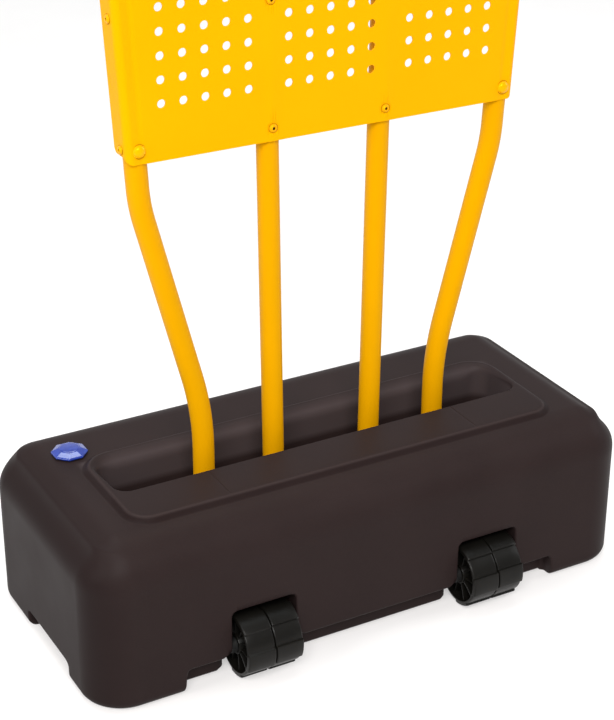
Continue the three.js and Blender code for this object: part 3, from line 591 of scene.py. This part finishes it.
for s, side in ((-1, "left"), (1, "right")):
    V, F, last = tube_mesh(densify(outer, 60), TUBE_R, TUBE_IN, N_T, neck_cope)
    ob = make("outer_tube_%s_visual" % side, V if s > 0 else mirror(V), F, TUBE)
    recalc(ob); with_angle(ob, 40)
    place(ob, "mannequin", "outer_tube_%s" % side, slot="tube_paint")
    bv = bead([tuple(p) for p in last], 1.9, 8, 0.10)
    w = make("neck_weld_%s" % side, bv[0] if s > 0 else mirror(bv[0]), bv[1], TUBE)
    recalc(w); place(w, "mannequin", slot="tube_paint")
    V, F, last = tube_mesh(densify(leg, 70), TUBE_R, TUBE_IN, N_T)
    ob = make("inner_tube_%s_visual" % side, V if s > 0 else mirror(V), F, TUBE)
    recalc(ob); with_angle(ob, 40)
    place(ob, "mannequin", "inner_tube_%s" % side, slot="tube_paint")
    cx, cz = in_x(LEG_TOP + 0.2), LEG_TOP + 0.2
    ringc = [(s * (cx + TUBE_R * math.cos(2 * math.pi * j / 40)), TUBE_Y + TUBE_R * math.sin(2 * math.pi * j / 40), cz) for j in range(40)]
    bv = bead(ringc, 1.4, 8, 0.12)
    w = make("loop_weld_%s" % side, bv[0], bv[1], TUBE)
    recalc(w); place(w, "mannequin", slot="tube_paint")
V, F, _ = tube_mesh(densify(loop, 40), TUBE_R, TUBE_IN, N_T)
ob = make("head_loop_visual", V, F, TUBE); recalc(ob); with_angle(ob, 40)
place(ob, "mannequin", "head_loop_tube", slot="tube_paint")

for x, n in ((-OUT_X, "outer_left"), (-in_x(LEG_END), "inner_left"), (in_x(LEG_END), "inner_right"), (OUT_X, "outer_right")):
    prof = [(0, 31.5), (7.5, 31.5), (8.2, 31.3), (11.2, 31.3), (12.2, 31.7), (12.9, 32.6), (12.9, 33.8), (12.6, 34.2), (11.0, 34.2)]
    for k in range(3):
        z0 = 36.5 + k * 4.2
        prof += [(9.9, z0 - 1.4), (11.2, z0), (11.2, z0 + 0.8), (9.9, z0 + 2.0)]
    prof += [(9.4, 49.5), (8.0, 51.5), (6.2, 51.5), (6.2, 38), (0, 38)]
    ob = lathed("leg_plug_%s_visual" % n, prof, "z", (x, TUBE_Y, 0), PLUG, 28, sharp=40)
    place(ob, "mannequin", "leg_plug_%s" % n, slot="plug_rubber")

# ------------------------------------------------------------------ sheets
from mathutils.geometry import delaunay_2d_cdt
EDGE = TUBE_R + 0.4 + SHEET_T
FOLD = 9.0
FRONT = SHEET_BACK - SHEET_T

def bulge(x, z):
    return 0.9 * math.exp(-((abs(x) - in_x(z)) / 8.5) ** 2) * (0.35 + 0.65 * math.exp(-max(0.0, z - 635) / 70))

def sheet_flat(outline, holes, inner_pts, inner_edges, skip=None, disp=None):
    """outline and holes as [(x, z)]; returns V, F with thickness; skip(a, b) leaves a wall out"""
    pts, edges = [], []
    def loop_in(L):
        o = len(pts); pts.extend([Vector(p) for p in L])
        edges.extend([(o + i, o + (i + 1) % len(L)) for i in range(len(L))])
    loop_in(outline)
    for c, r, n in holes:
        loop_in([(c[0] + r * math.cos(2 * math.pi * (j + 0.5) / n), c[1] + r * math.sin(2 * math.pi * (j + 0.5) / n)) for j in range(n)])
    o = len(pts)
    pts.extend([Vector(p) for p in inner_pts]); edges.extend([(a + o, b + o) for a, b in inner_edges])
    v, e, f, _, _, _ = delaunay_2d_cdt(pts, edges, [], 0, 1e-4)
    P = np.array([(p[0], p[1]) for p in v])
    T = np.array([tuple(q) for q in f if len(q) == 3])
    C = P[T].mean(1)
    O = np.array(outline)
    inside = np.zeros(len(C), bool)
    x0, z0 = O[:, 0], O[:, 1]; x1, z1 = np.roll(x0, -1), np.roll(z0, -1)
    for a, b, c, d in zip(x0, z0, x1, z1):
        if b == d: continue
        m = (C[:, 1] < max(b, d)) & (C[:, 1] >= min(b, d))
        xi = a + (C[:, 1] - b) * (c - a) / (d - b)
        inside ^= m & (xi > C[:, 0])
    for c, r, n in holes:
        inside &= np.hypot(C[:, 0] - c[0], C[:, 1] - c[1]) > r * 0.99
    T = T[inside]
    ar = (P[T[:, 1], 0] - P[T[:, 0], 0]) * (P[T[:, 2], 1] - P[T[:, 0], 1]) - (P[T[:, 1], 1] - P[T[:, 0], 1]) * (P[T[:, 2], 0] - P[T[:, 0], 0])
    T = T[np.abs(ar) > 1e-7]; ar = ar[np.abs(ar) > 1e-7]
    T[ar < 0] = T[ar < 0][:, ::-1]      # counter-clockwise in x, z: normal is -y
    d = np.array([disp(x, z) if disp else 0.0 for x, z in P])
    n = len(P)
    V = np.concatenate([np.stack([P[:, 0], FRONT - d, P[:, 1]], 1), np.stack([P[:, 0], SHEET_BACK - d, P[:, 1]], 1)])
    F = [tuple(t) for t in T] + [tuple(t[::-1] + n) for t in T]
    he = {}
    for t in T:
        for a, b in ((t[0], t[1]), (t[1], t[2]), (t[2], t[0])):
            he[(a, b)] = True
    for (a, b) in list(he):
        if (b, a) not in he and not (skip and skip(P[a], P[b])):
            F.append((b, a, a + n, b + n))
    used = np.unique(np.concatenate([np.array(q) for q in F]))
    mp = -np.ones(len(V), int); mp[used] = np.arange(len(used))
    return V[used], [tuple(int(mp[i]) for i in q) for q in F]

DIMPLE = 1.1
def dimples():
    for z in rivet_z:
        for s in (-1, 1):
            yield s * in_x(z), z, 5.3, 10.0
def dished(x, z):
    d = bulge(x, z)
    for cx, cz, r0, r1 in dimples():
        r = math.hypot(x - cx, z - cz)
        if r < r1:
            t = min(1.0, max(0.0, (r1 - r) / (r1 - r0)))
            d -= DIMPLE * t * t * (3 - 2 * t)
    u = abs(x) - (side_x(z) + EDGE - FOLD) + 8.5
    if abs(u) < 8 and z < 1290:
        d -= 1.1 * math.cos(math.pi * u / 16) ** 2 * min(1.0, (1290 - z) / 40)
    return d

COLS = [0, 27.58, 55.16, 107.4, 134.98, 162.56, 190.14, 217.72]
rivet_z = [RIVET_Z0 + i * RIVET_STEP for i in range(6)]
NH = 24

def build_torso():
    i0 = next(i for i, p in enumerate(outer) if p[1] > 1300 and p[0] > 280 and i > 20)
    tail = outer[-20:]
    zt = tail[0][1] - 4
    xf = lambda z: side_x(z) + EDGE - FOLD
    zrows = [PANEL_Z0 + (zt - PANEL_Z0) * i / 60 for i in range(61)]
    shoulder = []
    for i in range(len(tail)):
        if i == 0: t = np.array([SIDE_SLOPE, 1.0])
        elif i == len(tail) - 1: t = np.subtract(tail[i], tail[i - 1])
        else: t = np.subtract(tail[i + 1], tail[i - 1])
        t = t / np.linalg.norm(t)
        shoulder.append((tail[i][0] + t[1] * EDGE, tail[i][1] - t[0] * EDGE))
    right = [(xf(z), z) for z in zrows] + [(xf(zt) + FOLD * 0.6, zt + 0.6), (shoulder[0][0], shoulder[0][1] - 2.5)] + shoulder
    bottom = [(-xf(PANEL_Z0) + 2 * xf(PANEL_Z0) * i / 60, PANEL_Z0) for i in range(1, 60)]
    outline = bottom + right + [(-x, z) for x, z in right[::-1]]
    holes = []
    for r in range(HOLE_ROWS):
        z = HOLE_Z + r * PITCH
        for c in COLS:
            for s in ((-1, 1) if c else (1,)):
                holes.append(((s * c, z), HOLE_R, NH))
    ip, ie = [], []
    for s in (-1, 1):
        for off in (-15, -10.5, -6.5, -3, 0, 3, 6.5, 10.5, 15):
            prev = None
            zz = [PANEL_Z0 + 3 + i * (1440 - PANEL_Z0) / 44 for i in range(45)]
            for z in zz:
                ip.append((s * (in_x(z) + off), z))
                if prev is not None: ie.append((prev, len(ip) - 1))
                prev = len(ip) - 1
        for off in (-2, -4.5, -6.5, -8.5, -10.5, -12.5, -15.5):
            ip += [(s * (xf(z) + off), z) for z in [PANEL_Z0 + 2 + i * (1290 - PANEL_Z0) / 44 for i in range(45)]]
    def skip(a, b):
        return abs(abs(a[0]) - xf(a[1])) < 0.02 and abs(abs(b[0]) - xf(b[1])) < 0.02 and a[1] <= zt + 0.01 and b[1] <= zt + 0.01 and abs(a[1] - b[1]) > 0.5
    for cx, cz, r0, r1 in dimples():
        ip.append((cx, cz))
        for k in range(6):
            r = r0 + (r1 - r0) * k / 5
            ip += [(cx + r * math.cos(math.pi * (j + 0.5 * (k % 2)) / 12), cz + r * math.sin(math.pi * (j + 0.5 * (k % 2)) / 12)) for j in range(24)]
    V, F = sheet_flat(outline, holes, ip, ie, skip, dished)
    parts = [(V, F, 0)]
    # the folded sides
    prof = []
    nf = 10
    for j in range(nf + 1):
        w = math.pi / 2 * j / nf
        prof.append((FOLD * math.sin(w), FRONT + FOLD * (1 - math.cos(w)), math.sin(w), -math.cos(w), w * FOLD))
    yb = FRONT + FOLD
    for y in np.linspace(yb, FLANGE_BACK, 8)[1:]:
        prof.append((FOLD, float(y), 1.0, 0.0, math.pi / 2 * FOLD + (y - yb)))
    ltot = prof[-1][4]
    for s in (-1, 1):
        V, F = [], []
        rows = []
        for i, z in enumerate(zrows):
            ro, ri = [], []
            for j, (dx, y, nx, ny, l) in enumerate(prof):
                rise = 8.0 * (1 - math.cos(min(1.0, l / 14.0) * math.pi / 2)) if j else 0.0
                if l > ltot - 6: rise += 5.0 * (1 - math.sqrt(max(0.0, 1 - ((l - ltot + 6) / 6.0) ** 2)))
                k = max(0.0, 1 - (z - PANEL_Z0) / 60.0)
                z1 = z + rise * k ** 1.5 if j else z
                top = 0.0
                if l > ltot - 14: top = 12.0 * (1 - math.sqrt(max(0.0, 1 - ((l - ltot + 14) / 14.0) ** 2)))
                kt = max(0.0, 1 - (zt - z) / 50.0)
                z1 -= top * kt ** 1.5
                x = xf(z1 if j else z) + dx
                ro.append(len(V)); V.append((s * x, y, z1))
                ri.append(len(V)); V.append((s * (x - nx * SHEET_T), y - ny * SHEET_T, z1))
            rows.append((ro, ri))
        m = len(prof)
        for i in range(len(rows) - 1):
            (a, b), (c, d) = rows[i], rows[i + 1]
            for j in range(m - 1):
                F.append((a[j], a[j + 1], c[j + 1], c[j]))
                F.append((b[j], d[j], d[j + 1], b[j + 1]))
            F.append((a[m - 1], b[m - 1], d[m - 1], c[m - 1]))
        for r, fl in ((rows[0], False), (rows[-1], True)):
            a, b = r
            for j in range(m - 1):
                F.append((a[j], b[j], b[j + 1], a[j + 1]))
        parts.append((np.array(V), F, 0))
    ob = join_parts("torso_panel_visual", parts, [SHEET], 50)
    import bmesh
    bm = bmesh.new(); bm.from_mesh(ob.data)
    bmesh.ops.remove_doubles(bm, verts=bm.verts, dist=0.00002)
    bmesh.ops.recalc_face_normals(bm, faces=bm.faces)
    bm.to_mesh(ob.data); bm.free()
    with_angle(ob, 38)
    md = ob.modifiers.new("wn", "WEIGHTED_NORMAL"); md.keep_sharp = True; md.weight = 60
    return place(ob, "mannequin", "torso_panel", slot="panel_plastic")

torso = build_torso()

def build_head():
    z0 = 1502.0
    right = [(in_x(z0) + 8, z0), (in_x(z0) + 10.6, z0 + 0.8), (in_x(z0) + 12.0, z0 + 3), (in_x(z0) + 14, 1525), (103.5, 1551), (108, 1575), (110.2, 1592), (111, 1610), (111, 1650), (111, HEAD_Z)]
    right += [(111 * math.cos(math.pi * i / 64), HEAD_Z + 111 * math.sin(math.pi * i / 64)) for i in range(1, 33)]
    left = [(-x, z) for x, z in right[:-1][::-1]]
    outline = right + left
    V, F = sheet_flat(outline, [], [], [])
    ob = join_parts("head_panel_visual", [(V, F, 0)], [SHEET], 38)
    md = ob.modifiers.new("b", "BEVEL"); md.width = 0.0004; md.segments = 2; md.limit_method = "ANGLE"; md.angle_limit = math.radians(50)
    md = ob.modifiers.new("wn", "WEIGHTED_NORMAL"); md.keep_sharp = True; md.weight = 60
    return place(ob, "mannequin", "head_panel", slot="panel_plastic")
build_head()

# ------------------------------------------------------------------ fasteners
def rivet_profile(depth):
    """(r, height above the sheet), from the mandrel out to the rim and down the shank"""
    return [(0, 0.9), (1.35, 0.9), (1.6, 0.75), (1.7, 1.75), (2.0, 2.5), (2.6, 2.8), (3.4, 2.6), (4.2, 2.0), (4.8, 1.25), (5.2, 0.5), (5.25, 0.12), (6.1, 0.1), (6.1, -0.12), (4.9, -0.28), (2.3, -0.3), (2.3, -depth + 0.4), (1.9, -depth), (0, -depth)]
# material 0 is the head, 1 the mandrel hollow in painted shade, 2 the thin painted shadow ring at the rim
RM = [1, 1, 1] + [0] * 7 + [2] * 3 + [0] * 5
def pop(name, x, z, node):
    f = FRONT - 0.15 + (DIMPLE - bulge(x, z) if z < 1450 else -0.15)
    prof = [(r, f - h) for r, h in rivet_profile(f * -1 - 32.5)]
    ob = lathed(name, prof, "y", (x, 0, z), [RIVET, MANDREL_PAINTED_SHADE, RING_PAINTED_SHADOW], 24, mats=RM)
    place(ob, "mannequin", node, slot="rivet_aluminium")
for i, z in enumerate(rivet_z):
    for s, side in ((-1, "left"), (1, "right")):
        pop("rivet_inner_%s_%d_visual" % (side, i + 1), s * in_x(z), z, "rivet_inner_%s_%d" % (side, i + 1))
for i, (x, z) in enumerate([(98.6, 1600), (-98.6, 1600), (70.7, HEAD_Z + 70.7), (-70.7, HEAD_Z + 70.7)]):
    pop("rivet_head_%d_visual" % (i + 1), x, z, "rivet_head_%d" % (i + 1))
for i, z in enumerate(rivet_z[:5]):
    for s, side in ((-1, "left"), (1, "right")):
        f = side_x(z) + EDGE + 0.4
        d = f - (side_x(z) + 9.5)
        prof = [(r, f + h * 0.9) for r, h in rivet_profile(d)]
        V, F, M = lathe(prof, "x", (0, TUBE_Y, z), 24, mats=RM)
        ob = make("rivet_side_%s_%d_visual" % (side, i + 1), V if s > 0 else mirror(V), F, [RIVET, MANDREL_PAINTED_SHADE, RING_PAINTED_SHADOW], face_mat=M)
        recalc(ob); with_angle(ob, 35)
        place(ob, "mannequin", "rivet_side_%s_%d" % (side, i + 1), slot="rivet_aluminium")
for s, side in ((-1, "left"), (1, "right")):
    x = s * side_x(RIVET_Z0)
    prof = [(0, 5.0)] + [(7.2 * math.sin(math.radians(a)), 1.2 + 3.8 * math.cos(math.radians(a))) for a in range(12, 85, 9)] + [(7.5, 1.05), (7.8, 0.9), (7.9, 0.45), (7.9, 0.12), (9.0, 0.1), (9.0, -0.12), (7.0, -0.25), (3.1, -0.3), (3.1, -5.5), (2.7, -5.9), (0, -5.9)]
    f = FRONT + 0.4
    # faces from r 7.9 to 9.0 take the painted shadow ring material
    ob = lathed("corner_button_%s_visual" % side, [(r, f - h) for r, h in prof], "y", (x, 0, RIVET_Z0), [BUTTON, RING_PAINTED_SHADOW], 40, sharp=45, mats=[0] * 13 + [1] * 3 + [0] * 8)
    place(ob, "mannequin", "corner_button_%s" % side, slot="button_paint")

# ------------------------------------------------------------------ wheels
def nbox(node):
    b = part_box(node)
    lo = np.array([min(b[0][i], b[1][i]) for i in range(3)]) * 1000
    hi = np.array([max(b[0][i], b[1][i]) for i in range(3)]) * 1000
    lo[1] += MID_Y; hi[1] += MID_Y
    return lo, hi

def sector(w, edges):
    """1 on raised sectors, 0 on lowered ones, with short ramps; edges: [(start, end)] of raised sectors in degrees"""
    a = math.degrees(w) % 360
    v = 0.0
    for s0, s1 in edges:
        c = (s0 + s1) / 2; h = (s1 - s0) / 2
        d = abs((a - c + 180) % 360 - 180)
        v = max(v, min(1.0, max(0.0, (h - d) / 1.2 + 0.5)))
    return v

def wheel_half(name, node, c, s_out, phase):
    """one moulded half: s_out is the side of x its open face looks to"""
    lo, hi = nbox(node)
    x_in, x_out = (lo[0], hi[0]) if s_out > 0 else (hi[0], lo[0])
    w = abs(x_out - x_in)
    raised = [(phase + 72 * i, phase + 72 * i + 36) for i in range(5)]
    R0 = WHEEL_R - TREAD_STEP - 40.0
    # (axial distance from the joint face, radius, tread flag)
    prof = [(0.4, 6.6, 0), (0.4, 30.0, 0), (0.4, 36.5, 0), (0.45, 38.6, 1), (0.9, 39.6, 1), (1.9, 40.0, 1), (2.6, 40.0, 1), (w * 0.33, 40.0, 1), (w * 0.66, 40.0, 1), (w - 2.2, 40.0, 1), (w - 1.1, 39.7, 1), (w - 0.35, 39.0, 1),
            (w - 0.05, 38.0, 1), (w - 0.05, 37.2, 0), (w - 0.45, 36.7, 0), (w - 1.2, 36.4, 0), (6.0, 35.6, 0), (4.3, 35.0, 0), (3.6, 33.8, 0), (3.4, 32.0, 0), (3.4, 17.0, 0), (3.8, 15.4, 0), (5.0, 14.5, 0),
            (w - 3.0, 13.2, 0), (w - 2.3, 12.9, 0), (w - 2.0, 12.3, 0), (w - 2.0, 8.0, 0), (w - 2.4, 7.2, 0), (w - 3.2, 6.6, 0)]
    n = 240
    V, F = [], []
    for a, r, fl in prof:
        for j in range(n):
            t = 2 * math.pi * j / n
            rr_ = r + (R0 + TREAD_STEP * sector(t, raised) if fl else 0.0)
            V.append((x_in + s_out * a, AXLE_Y - rr_ * math.cos(t), AXLE_Z + rr_ * math.sin(t)))
    m = len(prof)
    for i in range(m):
        for j in range(n):
            F.append((i * n + j, i * n + (j + 1) % n, ((i + 1) % m) * n + (j + 1) % n, ((i + 1) % m) * n + j))
    parts = [(np.array(V), F, 0)]
    # radial ribs between hub and rim
    for k in range(10):
        t = math.radians(phase + 18 + 36 * k)
        er = np.array([0, -math.cos(t), math.sin(t)]); et = np.array([0, math.sin(t), math.cos(t)])
        o = np.array([x_in, AXLE_Y, AXLE_Z])
        rv, rf = [], []
        h0, h1 = 1.15, 0.85
        sec = [(-h0, 3.0), (-h1, w - 5.0), (-h1 + 0.35, w - 4.5), (h1 - 0.35, w - 4.5), (h1, w - 5.0), (h0, 3.0)]
        for r, drop in ((12.8, 1.0), (16, 0.35), (20, 0.0), (31, 0.0), (34.2, 0.35), (36.2, 1.0)):
            for tt, ax in sec:
                ax2 = ax if ax <= 3.0 else ax + (1.6 - drop * 1.6) * -1 * (1 - drop) * 0 + drop * 0.9
                rv.append(o + er * r + et * tt + np.array([s_out * ax2, 0, 0]))
        q = len(sec)
        for i in range(5):
            for j in range(q):
                rf.append((i * q + j, i * q + (j + 1) % q, (i + 1) * q + (j + 1) % q, (i + 1) * q + j))
        rf.append(tuple(range(q))); rf.append(tuple(5 * q + j for j in range(q))[::-1])
        parts.append((np.array(rv), rf, 0))
    return join_parts(name, parts, [WHEEL], 32)

for s, side in ((-1, "left"), (1, "right")):
    c = s * WHEEL_X
    for half in ("outer", "inner"):
        s_out = s if half == "outer" else -s
        # phases from the raised sectors: [left half, right half] of each wheel
        leftmost = s_out < 0
        phase = {("left", True): 45.0, ("left", False): 47.0, ("right", True): -17.0, ("right", False): 58.0}[(side, leftmost)]
        ob = wheel_half("%s_wheel_%s_half_visual" % (side, half), "%s_wheel_%s_half" % (side, half), c, s_out, phase)
        place(ob, "%s_wheel" % side, "%s_wheel_%s_half" % (side, half), slot="wheel_plastic")
        node = "%s_axle_spacer_%s" % (side, half)
        lo, hi = nbox(node)
        r1 = (hi[2] - lo[2]) / 2
        a0, a1 = lo[0], hi[0]
        prof = [(6.3, a0 + 0.5), (6.8, a0), (r1 - 0.6, a0), (r1, a0 + 0.6), (r1, a1 - 0.6), (r1 - 0.6, a1), (6.8, a1), (6.3, a1 - 0.5)]
        ob = lathed(node + "_visual", prof, "x", (0, AXLE_Y, AXLE_Z), SPACER, 36, closed=True)
        place(ob, "base", node, slot="spacer_nylon")
    lo, hi = nbox("%s_axle" % side)
    a0, a1 = lo[0], hi[0]
    prof = [(0, a0), (4.7, a0), (5.6, a0 + 0.8), (6.0, a0 + 1.8), (6.0, a0 + 8), (5.85, a0 + 8.4), (5.85, a0 + 9.4), (6.0, a0 + 9.8), (6.0, a1 - 9.8), (5.85, a1 - 9.4), (5.85, a1 - 8.4), (6.0, a1 - 8), (6.0, a1 - 1.8), (5.6, a1 - 0.8), (4.7, a1), (0, a1)]
    ob = lathed("%s_axle_visual" % side, prof, "x", (0, AXLE_Y, AXLE_Z), STEEL, 32)
    place(ob, "base", "%s_axle" % side, slot="axle_steel")

# ------------------------------------------------------------------ filler cap
def build_cap():
    import bmesh
    bm = bmesh.new()
    def loop8(r, z, turn=22.5, n=8):
        return [bm.verts.new((CAP_X + r * math.cos(math.radians(turn + 360 * j / n)), CAP_Y + r * math.sin(math.radians(turn + 360 * j / n)), z)) for j in range(n)]
    rings_ = [loop8(22.2, 222.1), loop8(23.6, 222.4), loop8(23.6, 224.2), loop8(22.6, 225.2), loop8(14.8, 229.0)]
    for a, b in zip(rings_[:-1], rings_[1:]):
        for j in range(8):
            bm.faces.new((a[j], a[(j + 1) % 8], b[(j + 1) % 8], b[j]))
    bm.faces.new(rings_[-1]); bm.faces.new(rings_[0][::-1])
    me = bpy.data.meshes.new("cap_tmp"); bm.to_mesh(me); bm.free()
    V = np.array([tuple(v.co) for v in me.vertices]); F = [tuple(p.vertices) for p in me.polygons]
    bpy.data.meshes.remove(me)
    ob = make("filler_cap_visual", V, F, [BLUE])
    recalc(ob)
    md = ob.modifiers.new("bev", "BEVEL"); md.width = 0.0007; md.segments = 3; md.limit_method = "ANGLE"; md.angle_limit = math.radians(9)
    md = ob.modifiers.new("wn", "WEIGHTED_NORMAL"); md.keep_sharp = True; md.weight = 70
    place(ob, "cap", "filler_cap", slot="cap_plastic")
    prof = [(0, 229.7), (11.5, 229.7), (12.3, 229.55), (12.8, 229.2), (12.9, 228.6), (12.9, 226.8), (0, 226.8)]
    ob = lathed("cap_disc", prof, "z", (CAP_X, CAP_Y, 0), BLUE, 64, sharp=40)
    place(ob, "cap", slot="cap_plastic")
    # threaded plug
    nz = 70; n = 64
    V, F = [], []
    zz = np.linspace(222.5, 208.2, nz)
    for z in zz:
        env = min(1.0, (222.5 - z) / 2.0) * min(1.0, max(0.0, (z - 209.0) / 2.0))
        for j in range(n):
            w = 2 * math.pi * j / n
            ph = (z / 4.0 - j / n) % 1.0
            tri = max(0.0, 1 - abs(ph - 0.5) / 0.34)
            r = 12.9 + 1.0 * env * min(1.0, tri * 1.5)
            if z < 209.3: r -= (209.3 - z) * 0.9
            V.append((CAP_X + r * math.cos(w), CAP_Y + r * math.sin(w), z))
    for i in range(nz - 1):
        for j in range(n):
            F.append((i * n + j, i * n + (j + 1) % n, (i + 1) * n + (j + 1) % n, (i + 1) * n + j))
    o = (nz - 1) * n
    base_ring = []
    for r, z in ((9.8, 208.2), (9.4, 208.7), (9.2, 212.1), (0.0, 212.1)):
        if r > 0:
            st = len(V)
            for j in range(n):
                w = 2 * math.pi * j / n
                V.append((CAP_X + r * math.cos(w), CAP_Y + r * math.sin(w), z))
            for j in range(n):
                F.append((o + j, o + (j + 1) % n, st + (j + 1) % n, st + j))
            o = st
        else:
            V.append((CAP_X, CAP_Y, z))
            for j in range(n):
                F.append((o + j, o + (j + 1) % n, len(V) - 1))
    F.append(tuple(range(n))[::-1])
    ob = make("cap_plug", V, F, [BLUE]); recalc(ob); with_angle(ob, 60)
    place(ob, "cap", slot="cap_plastic")
    lo, hi = nbox("cap_gasket")
    r1 = (hi[0] - lo[0]) / 2; zc, hh = (lo[2] + hi[2]) / 2, (hi[2] - lo[2]) / 2
    prof = []
    for i in range(16):
        w = 2 * math.pi * i / 16
        cw, sw = math.cos(w), math.sin(w)
        e = 0.55
        prof.append(((r1 + 15.3) / 2 + (r1 - 15.3) / 2 * math.copysign(abs(cw) ** e, cw), zc + hh * math.copysign(abs(sw) ** e, sw)))
    ob = lathed("cap_gasket_visual", prof, "z", (CAP_X, CAP_Y, 0), SEAL, 56, closed=True, sharp=60)
    place(ob, "cap_seal", "cap_gasket", slot="seal_rubber")
build_cap()

# ------------------------------------------------------------------ set
def floor():
    m = Mat("floor_white")
    g = m.noise(3.0, 2.0, 0.5)
    col = m.ramp(g.outputs["Fac"], [(0.3, (0.44, 0.425, 0.42, 1)), (0.7, (0.46, 0.445, 0.44, 1))])
    m.link(col.outputs["Color"], m.b.inputs["Base Color"])
    m.b.inputs["Roughness"].default_value = 0.9
    m.b.inputs["Emission Color"].default_value = (1.0, 0.99, 0.985, 1.0)
    m.b.inputs["Emission Strength"].default_value = 0.485
    m.b.inputs["Specular IOR Level"].default_value = 0.0
    me = bpy.data.meshes.new("floor")
    s = 14.0
    me.from_pydata([(-s, -s, 0), (s, -s, 0), (s, s, 0), (-s, s, 0)], [], [(0, 1, 2, 3)])
    me.materials.append(m.m)
    ob = bpy.data.objects.new("floor", me)
    bpy.context.scene.collection.objects.link(ob)
floor()

def area(name, loc, target, size, power, color=(1, 1, 1)):
    l = bpy.data.lights.new(name, "AREA")
    l.shape = "RECTANGLE"; l.size, l.size_y = size
    l.energy = power; l.color = color
    ob = bpy.data.objects.new(name, l)
    ob.location = loc
    d = Vector(target) - Vector(loc)
    ob.rotation_euler = d.to_track_quat("-Z", "Y").to_euler()
    bpy.context.scene.collection.objects.link(ob)
    return ob
area("key", (-1.9, -3.5, 3.8), (0, 0, 0.4), (3.0, 2.2), 300, (1.0, 0.985, 0.97))
area("top", (0.2, 1.1, 4.6), (0, 0, 0.2), (3.8, 2.6), 165, (0.90, 0.98, 1.0))
area("left", (-2.2, -0.3, 1.5), (-0.2, 0, 1.0), (0.6, 1.2), 18, (1.0, 0.99, 0.97))
area("side", (3.8, -1.4, 2.4), (0, 0, 0.4), (2.0, 2.4), 58, (0.98, 0.99, 1.0))

world = bpy.data.worlds.new("world")
bpy.context.scene.world = world
world.use_nodes = True
bg = world.node_tree.nodes["Background"]
bg.inputs[0].default_value = (0.975, 0.988, 1.0, 1.0)
wt = world.node_tree
def wn(kind, *vals):
    x = wt.nodes.new(kind)
    for i, v in vals:
        x.inputs[i].default_value = v
    return x
wc = wt.nodes.new("ShaderNodeTexCoord")
wsep = wt.nodes.new("ShaderNodeSeparateXYZ"); wt.links.new(wc.outputs["Generated"], wsep.inputs[0])
low = wn("ShaderNodeMapRange", (1, 0.15), (2, 0.85), (3, 1.0), (4, 0.0)); wt.links.new(wsep.outputs[2], low.inputs[0])
back = wn("ShaderNodeMapRange", (1, -0.4), (2, 0.6), (3, 0.0), (4, 1.0)); wt.links.new(wsep.outputs[1], back.inputs[0])
both = wn("ShaderNodeMath"); both.operation = "MULTIPLY"
wt.links.new(low.outputs[0], both.inputs[0]); wt.links.new(back.outputs[0], both.inputs[1])
sky = wn("ShaderNodeMapRange", (1, 0.0), (2, 1.0), (3, 0.34), (4, 0.85)); wt.links.new(both.outputs[0], sky.inputs[0])
wt.links.new(sky.outputs[0], bg.inputs[1])
bpy.context.scene.view_settings.view_transform = "Standard"

# ------------------------------------------------------------------ camera
yaw, pitch, roll = 0.5077, 0.4584, 0.0034
fwd = Vector((math.sin(yaw) * math.cos(pitch), math.cos(yaw) * math.cos(pitch), -math.sin(pitch)))
right = Vector((math.cos(yaw), -math.sin(yaw), 0.0))
up = right.cross(fwd)
r2 = right * math.cos(roll) + up * math.sin(roll)
u2 = -right * math.sin(roll) + up * math.cos(roll)
cam = bpy.data.cameras.new("camera")
cam.lens = 91.128
cam.sensor_width = 36.0
cam.sensor_fit = "AUTO"
cam.clip_start, cam.clip_end = 0.05, 60.0
cam_ob = bpy.data.objects.new("camera", cam)
bpy.context.scene.collection.objects.link(cam_ob)
M = Matrix(((r2.x, u2.x, -fwd.x), (r2.y, u2.y, -fwd.y), (r2.z, u2.z, -fwd.z))).to_4x4()
M.translation = Vector((-1.024568, -1.825933 + 0.0145, 1.348194))
cam_ob.matrix_world = M
bpy.context.scene.camera = cam_ob
